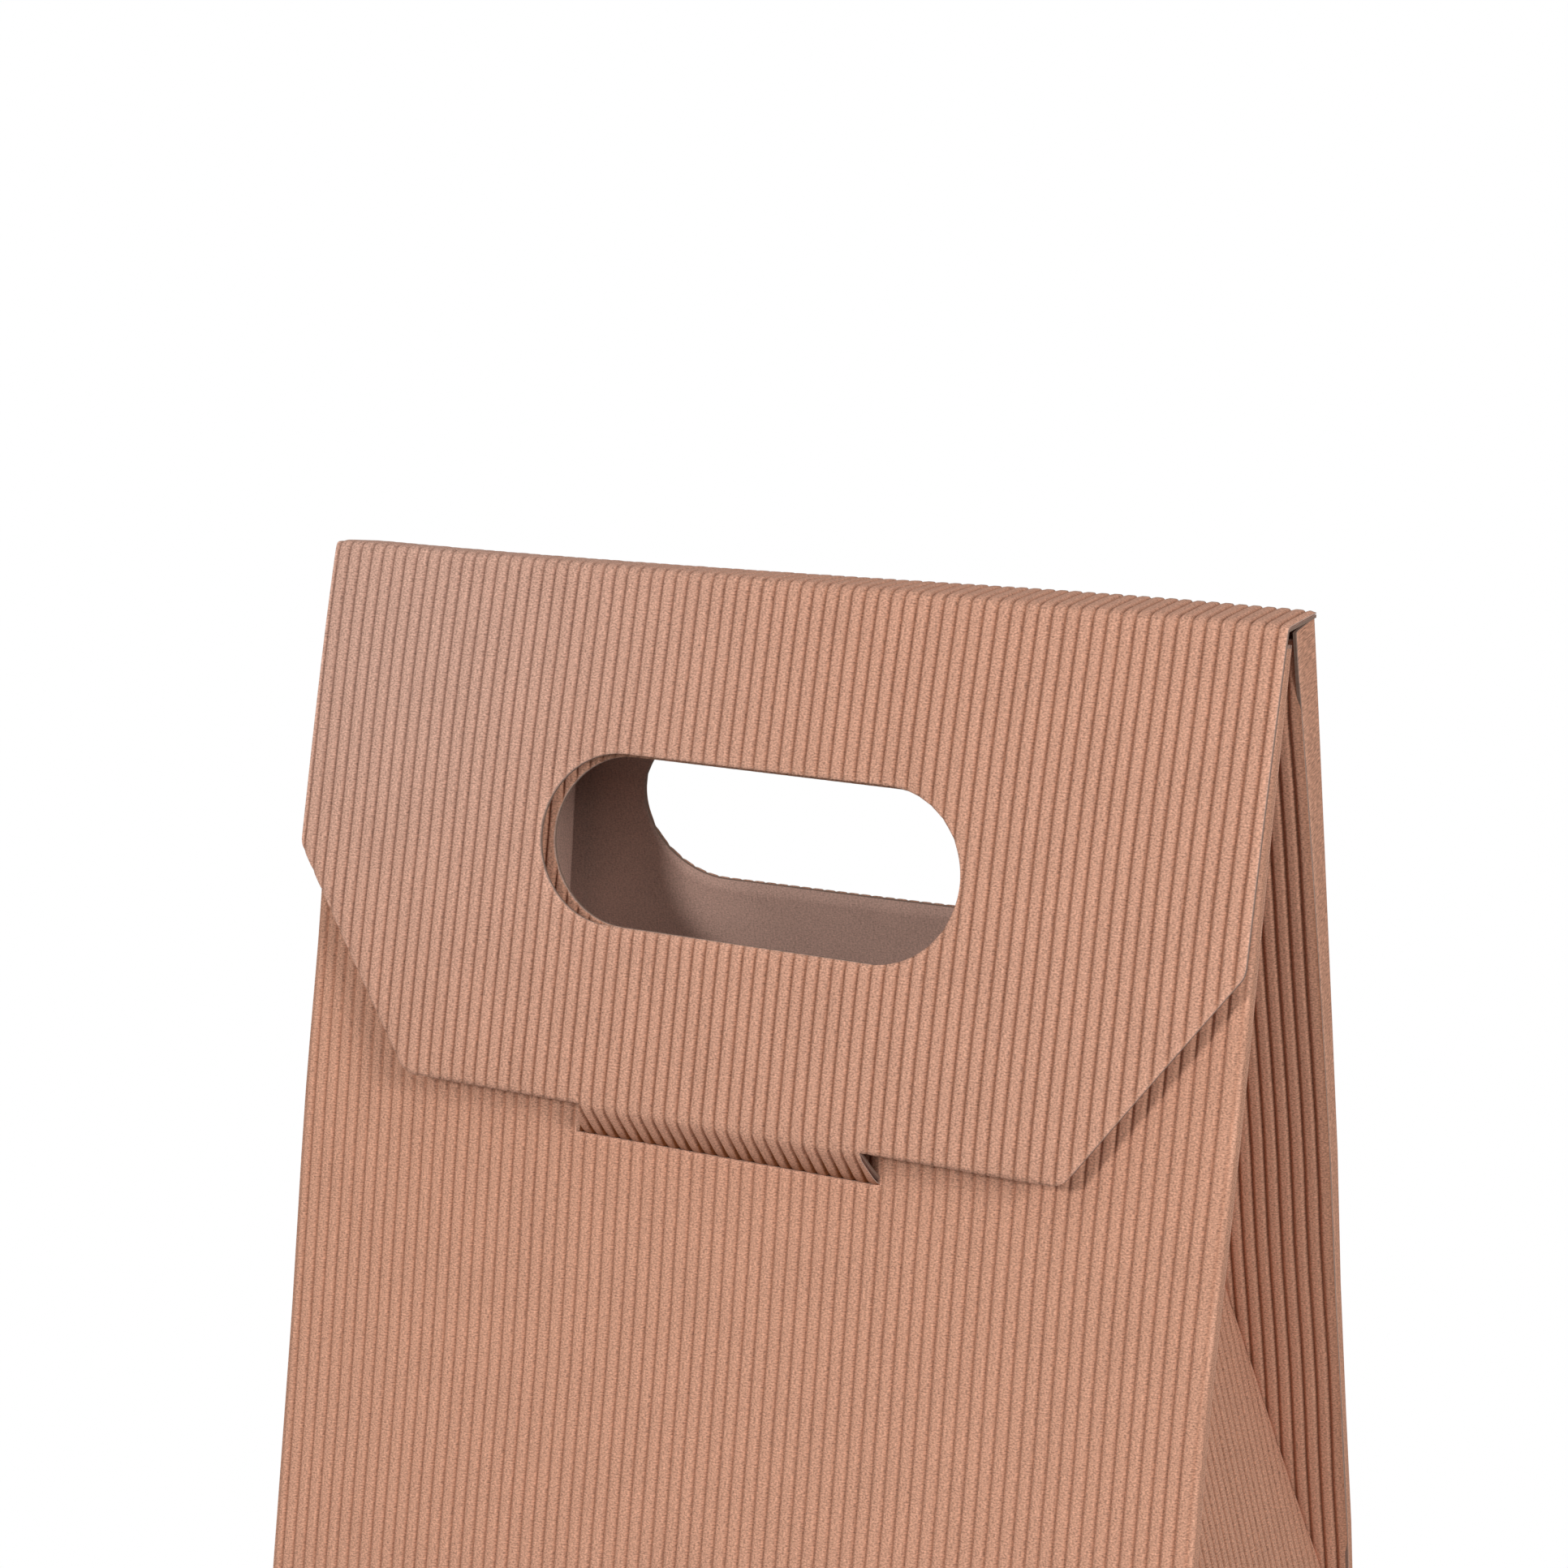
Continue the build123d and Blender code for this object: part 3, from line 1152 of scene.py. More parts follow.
@dataclass
class CardPiece(ABC):
    """What every folded piece of card has in common.

    Attributes:
        form: The exactly folded box.
        stock: The card.
        finishes: The shared finishes.
        settling: How the box has settled.
        name: First part of the pieces' names.
        body: Body that the pieces ride on.
        plies: Sheets of the card that it is made of.
    """

    form: CartonForm
    stock: CardStock
    finishes: Finishes
    settling: Settling
    name: str
    body: ClassVar[Body] = Body.BOX
    plies: ClassVar[tuple[Ply, ...]] = tuple(Ply)

    @abstractmethod
    def sheets(self, ply: Ply) -> list[Shell]:
        """Works out the closed sheets of one ply."""

    def build(self) -> list[Piece]:
        """Makes one piece of each ply."""
        return [self.add(ply) for ply in self.plies]

    def add(self, ply: Ply) -> Piece:
        """Turns the sheets of one ply into a piece and hands it to hang.

        Args:
            ply: Which sheet of the card it is.

        Returns:
            The piece.
        """
        shell = Shell.joined(self.sheets(ply))
        finishes = self.finishes.of(ply, self.body)
        piece = shell.to_object(f"{self.name}_{ply.value}", finishes)
        self.hang(piece)
        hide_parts(NODES[self.body, ply])
        LOG.info("%s: %d triangles", piece.name, 2 * len(shell.faces) + len(shell.triangles))
        return piece

    def hang(self, piece: Piece) -> None:
        """Hangs a piece on its body."""
        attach(piece, self.body.value)

    def heights(
        self, grid: Grid, ply: Ply, start: float, left: Array, seed: int
    ) -> tuple[Array, Array, Array]:
        """Heights of a sheet's two faces over the liner's outer face.

        Args:
            grid: The sheet laid out flat.
            ply: Which sheet of the card it is.
            start: Where the first valley lies across the flutes.
            left: Share of the flute height that the folds leave.
            seed: Seed of the small differences between flutes.

        Returns:
            Height of the outer face, height of the inner face, and the share of the flute height.
        """
        if ply is Ply.LINER:
            flat = np.zeros_like(grid.across)
            return flat, flat - self.stock.liner, np.ones_like(flat)
        wave = self.stock.wave(grid.across, grid.along, start, seed)
        outer = self.stock.paper + (self.stock.crest - self.stock.paper) * wave * left
        return outer, outer - self.stock.paper, wave


@dataclass
class ClosureFlap(CardPiece):
    """Ridge strip, hanging flap and tuck tongue: one strip of card bent over the ridge.

    Attributes:
        name: First part of the pieces' names.
        half_width: Half the flap's width.
        ridge: Depth of the ridge.
        length: Length of the flap below its front crease.
        lean: Lean of the flap from upright, in degrees.
        bow: How far the flap bellies out at its middle.
        slack: How far the flap's left side is drawn in at its lower end.
        side_length: Length of the flap's upright sides.
        chamfer: Width of its cut-off corners.
        corner: Radius of its corners.
        corner_columns: Number of extra columns within that radius from each side.
        corner_discs: Number of discs that are tried for half the outline.
        hole_drop: Middle of the hand hole below the front crease.
        tongue_half: Half the tongue's width.
        tongue_flare: How much further the tongue's left and right side stand out at the slot.
        tongue_step: Distance beside the tongue at which its sheet has ended.
        tongue_reach: How far the tongue's run goes in, and down.
        tongue_tip: Length of the tongue inside the slot.
        fold_radius: Radius of the folds.
        mouth_radius: Radius at which the tongue bends into the slot.
        crease_room: Distance past the front crease within which rows lie close together.
        crease_reach: Distance on either side of the crease over which the closest rows lie.
        crease_rows: Number of those rows.
        crush: Share of the flutes' height lost on a fold, and its reach.
        back_crush: The same for the back fold.
        cut_crush: Share of the flutes' height lost at a cut.
        cut_pale: How much paler the paper is at a cut, partly wear and partly a painted highlight
            on the crushed edge, and its reach.
        press_line: Distance along the strip of a faint line pressed across the flap.
        press: How much darker that line is, and its reach.
        shade: How much painted shade darkens the tongue's valleys, where it turns down from the
            light.
        shade_reach: Distance from a valley at which that shade has faded by about two thirds.
        slot_shade: How much painted shade darkens the tongue as it goes down into the slot.
        slot_shade_end: Share of the tongue's run at which both painted shades grow no further.
        slot_shade_base: Tone that would take no painted shade, so valleys take more of it than
            crests.
        darkest: Lowest tone of the paper.
        bend: Width of the ridge strip that bends at the back fold when the flap swings; not used.
        seed: Seed of the small differences between flutes.
    """

    name: str = "flap"
    body: ClassVar[Body] = Body.FLAP
    half_width: float = 90.0
    ridge: float = 12.4
    length: float = 93.0
    lean: float = 16.52
    bow: float = 1.2
    slack: float = 0.5
    side_length: float = 55.0
    chamfer: float = 27.0
    corner: float = 4.0
    corner_columns: int = 12
    corner_discs: int = 1500
    hole_drop: float = 46.8
    tongue_half: float = 27.0
    tongue_flare: Span = (3.4, 1.2)
    tongue_step: float = 0.02
    tongue_reach: Span = (6.0, 8.0)
    tongue_tip: float = 7.0
    fold_radius: float = 0.6
    mouth_radius: float = 9.0
    crease_room: float = 6.0
    crease_reach: float = 1.4
    crease_rows: int = 7
    crush: Span = (0.5, 0.9)
    back_crush: Span = (0.25, 1.0)
    cut_crush: float = 0.6
    cut_pale: Span = (0.3, 0.45)
    press_line: float = 45.4
    press: Span = (0.10, 0.7)
    shade: float = 0.45
    shade_reach: float = 0.65
    slot_shade: float = 2.6
    slot_shade_end: float = 1.1
    slot_shade_base: float = 1.6
    darkest: float = -0.75
    bend: float = 5.2
    seed: int = 3

    def hinge(self) -> Span:
        """Back fold of the ridge, Y and Z."""
        return self.form.half_gap, self.form.ridge_top

    def hang(self, piece: Piece) -> None:
        """Bakes a sheet's place into its mesh and leaves it on no body.

        Args:
            piece: The sheet's piece.
        """
        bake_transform(piece)

    def path(self) -> FoldPath:
        """Line of the strip in the YZ plane.

        It runs from the back fold over the ridge and down to the tongue's tip, which lies square
        to the line from the back fold to the slot, so that it follows the circle of the swing.

        Returns:
            The line.
        """
        lean = math.radians(self.lean)
        hinge = self.hinge()
        crease = (hinge[0] - self.ridge, hinge[1])
        edge = (crease[0] - self.length * math.sin(lean), crease[1] - self.length * math.cos(lean))
        mouth = (edge[0] + self.tongue_reach[0], edge[1] - self.tongue_reach[1])
        share = self.tongue_tip / math.dist(hinge, mouth)
        tip = (
            mouth[0] + share * (hinge[1] - mouth[1]),
            mouth[1] - share * (hinge[0] - mouth[0]),
        )
        radii = (self.fold_radius, self.fold_radius, self.mouth_radius)
        return FoldPath.through([hinge, crease, edge, mouth, tip], radii, 1.0)

    def outline(self, across: Array) -> Array:
        """Lower edge of the flap.

        The outline drawn in by the corner radius, then swept by a disc of that radius: at each
        place across, the lowest point that any disc reaches.

        Args:
            across: Places across the flap.

        Returns:
            Distance of the lower edge along the strip.
        """
        radius = self.corner
        run, fall = self.chamfer, self.length - self.side_length
        # The chamfer drawn in: fall * x + run * y is its constant, less the radius times its length
        constant = fall * self.half_width + run * self.side_length - radius * math.hypot(run, fall)
        centre = np.linspace(0.0, self.half_width - radius, self.corner_discs)
        low = np.minimum(self.length - radius, (constant - fall * centre) / run)
        apart = np.abs(across)[:, None] - centre[None, :]
        reach = np.sqrt(np.clip(radius**2 - apart**2, 0.0, None))
        edge = np.where(np.abs(apart) <= radius, low[None, :] + reach, -np.inf).max(axis=1)
        return self.ridge + edge

    def to_outline(self, grid: Grid) -> Array:
        """Distance of the flap's points from its cut outline.

        The tongue isn't cut off from the flap, so it counts as far away.

        Args:
            grid: The strip laid out flat.

        Returns:
            The distances.
        """
        slant = self.chamfer / math.hypot(self.chamfer, self.length - self.side_length)
        aside = np.abs(grid.across)
        tilt = np.where(aside > self.half_width - self.chamfer, slant, 1.0)
        below = np.abs(self.outline(grid.across) - grid.along) * tilt
        on_tongue = (aside < self.tongue_half) | (grid.along > self.ridge + self.length)
        return np.minimum(np.where(on_tongue, np.inf, below), self.half_width - aside)

    def tongue_run(self) -> float:
        """Length of the tongue's run outside the slot."""
        return math.hypot(*self.tongue_reach)

    def tongue_start(self, across: Array) -> Array:
        """Upper line of the tongue, whose sides flare out from the flap's edge to the slot.

        Args:
            across: Places across the flap.

        Returns:
            Where the tongue starts along the strip; beside the tongue, its tip.
        """
        past = np.abs(across) - self.tongue_half
        flare = np.where(across < 0, *self.tongue_flare)
        start = self.ridge + self.length + self.tongue_run() * np.clip(past / flare, 0.0, 1.0)
        return np.where(past <= flare, start, self.path().along[-1])

    def extra_columns(self, hole: HandHole) -> list[float]:
        """Columns at the ends of the hole, at the tongue's sides and at the rounded corners.

        Args:
            hole: The hand hole.

        Returns:
            Places across the flap.
        """
        left, right = (self.tongue_half + flare for flare in self.tongue_flare)
        sides = [-left - self.tongue_step, -left, -self.tongue_half]
        sides += [self.tongue_half, right, right + self.tongue_step]
        corner = self.corner * np.linspace(0.0, 1.0, self.corner_columns) ** 2
        ends = self.half_width - corner
        return [*hole.columns(), *sides, *ends, *(-ends)]

    def bands(self, path: FoldPath, hole: HandHole) -> list[Band]:
        """Rows of the strip: over the ridge, down to the hole, on to the outline, and the tongue.

        Args:
            path: The strip's line.
            hole: The hand hole.

        Returns:
            The bands.
        """
        room = self.ridge + self.crease_room
        apart = np.linspace(-self.crease_reach, self.crease_reach, self.crease_rows)
        at_crease = (self.ridge + apart) / room
        ridge_rows = close_to_ends(4, 0.03, 0.07, 0.11, 0.15, 0.2, *at_crease)
        tip = level(float(path.along[-1]))
        return [
            (level(0.0), level(room), ridge_rows),
            (level(room), hole.near_edge, close_to_ends(5, -0.07, -0.02)),
            (hole.far_edge, self.outline, close_to_ends(8, 0.02, 0.06, -0.05, -0.02)),
            (self.tongue_start, tip, close_to_ends(12, 0.02, 0.04, 0.06)),
        ]

    def place(self, path: FoldPath, grid: Grid, height: Array) -> Array:
        """Puts a face of the strip into the frame.

        A point goes to the line's point plus its height along the line's normal.  The flap's belly
        adds a parabola of the distance below the crease, and the back fold settles with the box.

        Args:
            path: The strip's line.
            grid: The strip laid out flat.
            height: Height over the liner's outer face.

        Returns:
            Points of the face.
        """
        point, normal = path.at(grid.along)
        share = np.clip((grid.along - self.ridge) / self.length, 0.0, 1.0)
        out = height + self.bow * 4.0 * share * (1.0 - share)
        back = np.clip(1.0 - grid.along / self.ridge, 0.0, 1.0)
        drawn = self.slack * smooth(grid.along - self.ridge, 0.0, self.side_length)
        x = grid.across + drawn * np.clip(-grid.across / self.half_width, 0.0, 1.0) ** 3
        where = point + out[:, None] * normal
        y = where[:, 0] + back * self.settling.ridge_spread(grid.across)
        z = where[:, 1] - back * self.settling.ridge_droop(grid.across)
        return np.stack([x, y, z], axis=1)

    def worn(self, grid: Grid, tone: Array, to_cut: Array) -> Array:
        """Tone of the flap, with its wear, painted highlight and painted shade.

        Darker on the pressed line; paler at the cuts, partly worn and partly a painted highlight
        where the crushed edge catches light; and painted shade down the tongue as it turns into the
        slot: in its valleys in proportion to the way to the slot, and all over with the cube of it.

        Args:
            grid: The strip laid out flat.
            tone: Tone of the clean paper.
            to_cut: Distance from the nearest cut.

        Returns:
            Tone of the paper.
        """
        dark, press_reach = self.press
        pale, cut_pale_reach = self.cut_pale
        tone = tone - dark * bell(grid.along - self.press_line, press_reach)
        # Paler at the cuts: partly wear, partly a painted highlight where the crushed edge catches
        # light.
        tone = tone + pale * bell(to_cut, cut_pale_reach)
        # Painted shade down the tongue towards the slot: in its valleys, and all over with the cube
        # of the way.
        down = (grid.along - self.ridge - self.length) / self.tongue_run()
        on_tongue = np.clip(down, 0.0, self.slot_shade_end)
        wide = replace(self.stock, valley_reach=self.shade_reach)
        crest = wide.wave(grid.across, grid.along, wide.front_valley, self.seed)
        slot_shade = self.slot_shade * on_tongue**3 * (self.slot_shade_base - tone)
        tone = tone - self.shade * on_tongue * (1.0 - crest) - slot_shade
        return np.clip(tone, self.darkest, None)

    def sheets(self, ply: Ply) -> list[Shell]:
        """Works out the strip, cut open at the hand hole.

        Args:
            ply: Which sheet of the card it is.

        Returns:
            The sheet.
        """
        path = self.path()
        hole = HandHole(self.ridge + self.hole_drop)
        extra = self.extra_columns(hole)
        columns = self.stock.columns(ply, -self.half_width, self.half_width, extra)
        grid = Grid.banded(columns, self.bands(path, hole))
        to_cut = np.minimum(hole.distance(grid.across, grid.along), self.to_outline(grid))
        left = path.crush(grid.along, *self.crush) * left_of(grid.along, self.back_crush)
        left = left * left_of(to_cut, (self.cut_crush, self.stock.die_reach))
        outer, inner, tone = self.heights(grid, ply, self.stock.front_valley, left, self.seed)
        faces = [self.place(path, grid, height) for height in (outer, inner)]
        return [Shell.between(grid, *faces, self.worn(grid, tone, to_cut))]


@dataclass
class CartonFace(CardPiece):
    """Front or back of the box: wall and leaning roof panel in one, wrapped round both ends.

    Attributes:
        name: First part of the pieces' names.
        sign: -1 for the front, 1 for the back, the sign of its Y.
        top_drop: How far the panel's top edge lies below the ridge.
        corner: Radius of the upright folds.
        corner_columns: Number of columns on an upright fold.
        relief: Share of the flutes' height that is left on this face.
        contrast: Share of the flutes' contrast that is left on this face.
        hole_drop: Middle of the hand hole below the ridge, along the slope.
        slot_drop: Lower lip of the tuck slot below the ridge, along the slope, or None.
        plain: Distances past an upright fold's start over which the flutes go plain.
        plain_tone: Tone of the plain band round the ends.
        crest_tone: Tone of a crest on this face.
        cut_crush: Share of the flutes' height lost at a cut.
        cut_pale: How much paler the paper is where a cut has pressed it.
        lip_wear: How much paler the slot's lip is, and its reach.
        rim_wear: How much paler the upright cut edges are, and the width of that.
        fold_wear_and_highlight: How much paler the upright folds are, worn and with a painted
            highlight along the fold, how far past their start, and its reach.
        fold_pale_share: Mean share of that paleness.
        fold_pale_waves: Share and length of the waves that make it uneven along the fold.
        seed: Seed of the small differences between flutes.
    """

    name: str = "front"
    sign: float = -1.0
    top_drop: float = 3.4
    corner: float = 0.7
    corner_columns: int = 7
    relief: float = 0.9
    contrast: float = 0.66
    hole_drop: float = 47.4
    slot_drop: float | None = 99.3
    plain: Span = (-0.6, 0.3)
    plain_tone: float = 0.74
    crest_tone: float = 0.97
    cut_crush: float = 0.5
    cut_pale: float = 0.16
    lip_wear: Span = (0.5, 0.4)
    rim_wear: Span = (0.45, 0.6)
    fold_wear_and_highlight: Triple = (0.75, 0.5, 0.3)
    fold_pale_share: float = 0.65
    fold_pale_waves: tuple[Span, ...] = ((0.4, 5.3), (0.3, 2.1))
    seed: int = 7

    def path(self) -> FoldPath:
        """Line of the face in the YZ plane as on the front, up the wall and the roof.

        Returns:
            The line.
        """
        form = self.form
        eaves = (-form.half_depth, form.wall)
        corners = [(-form.half_depth, 0.0), eaves, (-form.half_gap, form.ridge_top)]
        return FoldPath.through(corners, (form.fold_radius,), -1.0)

    def ridge(self) -> float:
        """Place of the ridge along the unrolled face."""
        return self.form.wall + self.form.slope()

    def top(self) -> float:
        """Place of the panel's top edge along the unrolled face."""
        return self.ridge() - self.top_drop / math.cos(self.form.lean())

    def straight(self) -> float:
        """Half the face's width up to where the upright folds start."""
        return self.form.half_width - self.corner

    def unrolled(self) -> float:
        """Half the face's width with the folds and the bands round the ends laid flat."""
        return self.straight() + self.corner * math.pi / 2 + self.form.end_band - self.corner

    def round_ends(self, across: Array, stretch: Array) -> tuple[Array, Array, Array, Array]:
        """Wraps the face round the two upright folds.

        Straight to the corner's tangent, then a quarter circle, then straight back along the end.

        Args:
            across: Distance across the unrolled face.
            stretch: How many times as wide the band along the end is.

        Returns:
            X, depth behind the face's plane, and the X and outward parts of the direction out of
            the card.
        """
        straight = self.straight()
        past = np.abs(across) - straight
        turn = np.clip(past / self.corner, 0.0, math.pi / 2)
        back = np.clip(past - self.corner * math.pi / 2, 0.0, None) * stretch
        sign = np.sign(across)
        x = sign * (np.minimum(np.abs(across), straight) + self.corner * np.sin(turn))
        depth = -self.corner * (1.0 - np.cos(turn)) - back
        return x, depth, sign * np.sin(turn), np.cos(turn)

    def place(self, path: FoldPath, grid: Grid, height: Array) -> Array:
        """Puts a face of the card into the frame.

        A point goes to the wrapped section at its place across, which is carried along the line of
        wall and roof, and settles with the box.

        Args:
            path: Line of wall and roof.
            grid: The face laid out flat.
            height: Height over the liner's outer face.

        Returns:
            Points of the face.
        """
        point, normal = path.at(grid.along)
        is_back = self.sign > 0
        wider = self.settling.extra_band(point[:, 1]) if is_back else np.zeros_like(height)
        stretch = 1.0 + wider / (self.form.end_band - self.corner)
        x, depth, out_x, out_depth = self.round_ends(grid.across, stretch)
        out = depth + height * out_depth
        y, z = (point + out[:, None] * normal).T
        return self.settling.moved(np.stack([x + height * out_x, -self.sign * y, z], axis=1))

    def slot(self) -> TuckSlot | None:
        """The tuck slot, on the face that has one."""
        return None if self.slot_drop is None else TuckSlot(self.ridge() - self.slot_drop)

    def bands(self, hole: HandHole, slot: TuckSlot | None) -> list[Band]:
        """Rows of the face, from the foot over the eaves to the slot, the hole and the top.

        Args:
            hole: The hand hole.
            slot: The tuck slot, or None.

        Returns:
            The bands.
        """
        form = self.form
        below, above = (level(form.wall + side * form.fold_room) for side in (-1.0, 1.0))
        bands = [form.wall_band(), (below, above, close_to_ends(6, 0.44, 0.47, 0.53, 0.56))]
        if slot is not None:
            bands.append((above, level(slot.lip), close_to_ends(8, -0.012, -0.005)))
            above = slot.upper
        bands.append((above, hole.near_edge, close_to_ends(6, -0.06, -0.02)))
        bands.append((hole.far_edge, level(self.top()), close_to_ends(6, 0.02, 0.06, -0.03)))
        return bands

    def extra_columns(self, hole: HandHole, slot: TuckSlot | None) -> list[float]:
        """Columns at the ends of the hole and the slot and on the upright folds.

        Args:
            hole: The hand hole.
            slot: The tuck slot, or None.

        Returns:
            Places across the unrolled face.
        """
        turn = self.corner * np.linspace(0.0, math.pi / 2, self.corner_columns)
        folds = self.straight() + turn
        return [*hole.columns(), *folds, *(-folds), *(slot.columns() if slot else ())]

    def worn(self, grid: Grid, tone: Array, plain: Array, at_cut: Array) -> Array:
        """Tone of the face, with its wear and a painted highlight.

        The flutes' contrast is less and ends at the plain bands; cuts and upright edges are paler,
        and so are the upright folds, worn and with a painted highlight, by a bell curve that is
        uneven along the fold.

        Args:
            grid: The face laid out flat.
            tone: Tone of the clean paper.
            plain: Share by which the flutes have gone plain.
            at_cut: Share by which a cut has pressed the card.

        Returns:
            Tone of the paper.
        """
        aside, unrolled, slot = np.abs(grid.across), self.unrolled(), self.slot()
        tone = self.crest_tone - self.contrast * (self.crest_tone - tone)
        tone = tone + (self.plain_tone - tone) * plain + self.cut_pale * at_cut
        if slot is not None:
            pale, reach = self.lip_wear
            tone = tone + pale * bell(slot.distance(grid.across, grid.along), reach)
        waves = sum(share * np.sin(grid.along / length) for share, length in self.fold_pale_waves)
        # Upright folds: paler by wear, and by a painted highlight along the rounded fold.
        pale, past, reach = self.fold_wear_and_highlight
        uneven = np.clip(self.fold_pale_share + waves, 0.0, 1.0)
        tone = tone + pale * uneven * bell(aside - self.straight() - past, reach)
        pale, width = self.rim_wear
        return tone + pale * smooth(aside, unrolled - width, unrolled)

    def sheets(self, ply: Ply) -> list[Shell]:
        """Works out the face, cut open at the hand hole and the slot.

        Args:
            ply: Which sheet of the card it is.

        Returns:
            The sheet.
        """
        path, hole, slot = self.path(), HandHole(self.ridge() - self.hole_drop), self.slot()
        unrolled = self.unrolled()
        extra = self.extra_columns(hole, slot)
        columns = self.stock.columns(ply, -unrolled, unrolled, extra)
        grid = Grid.banded(columns, self.bands(hole, slot))
        crush = self.form.fold_crush
        left = path.crush(grid.along, *crush) * left_of(grid.along - self.top(), crush)
        left = left * left_of(grid.along, self.form.foot_crush)
        start, end = (self.straight() + past for past in self.plain)
        plain = smooth(np.abs(grid.across), start, end)
        cuts = [hole] if slot is None else [hole, slot]
        to_cuts = [cut.distance(grid.across, grid.along) for cut in cuts]
        at_cut = np.max([bell(to_cut, self.stock.die_reach) for to_cut in to_cuts], axis=0)
        left = self.relief * left * (1.0 - plain) * (1.0 - self.cut_crush * at_cut)
        outer, inner, tone = self.heights(grid, ply, self.stock.front_valley, left, self.seed)
        if ply is Ply.FLUTED:
            tone = self.worn(grid, tone, plain, at_cut)
        faces = [self.place(path, grid, height) for height in (outer, inner)]
        return [Shell.between(grid, *faces, tone)]


@dataclass(frozen=True)
class WingPlane:
    """Plane of the front wing at the right end.

    Attributes:
        foot: Lower corner of the wing.
        up: Unit direction along its flutes.
        aside: Unit direction across them, towards the triangle's tip.
        out: Unit direction out of the card.
    """

    foot: Array
    up: Array
    aside: Array
    out: Array

    @classmethod
    def through(cls, foot: Array, tip: Array, lean: float) -> "WingPlane":
        """Lays the plane through the wing's end of the roof panel and the triangle's tip.

        Args:
            foot: Lower corner of the wing.
            tip: Tip of the triangle.
            lean: Lean of the roof panel, in radians.

        Returns:
            The plane, with its outside towards the middle of the box.
        """
        up = np.array([0.0, math.sin(lean), math.cos(lean)])
        aside = tip - foot - up * ((tip - foot) @ up)
        aside = aside / np.linalg.norm(aside)
        out = np.cross(aside, up)
        return cls(foot, up, aside, out if out[1] >= 0 else -out)

    def at(self, grid: Grid, height: Array) -> Array:
        """Points of the wing: its foot, plus the places across, along and out of the card."""
        flat = grid.across[:, None] * self.aside + grid.along[:, None] * self.up
        return self.foot + flat + height[:, None] * self.out

    def along_to(self, axis: int, limit: float, across: Array) -> Array:
        """Distance along the flutes at which a coordinate comes to a limit."""
        return (limit - self.foot[axis] - self.aside[axis] * across) / self.up[axis]


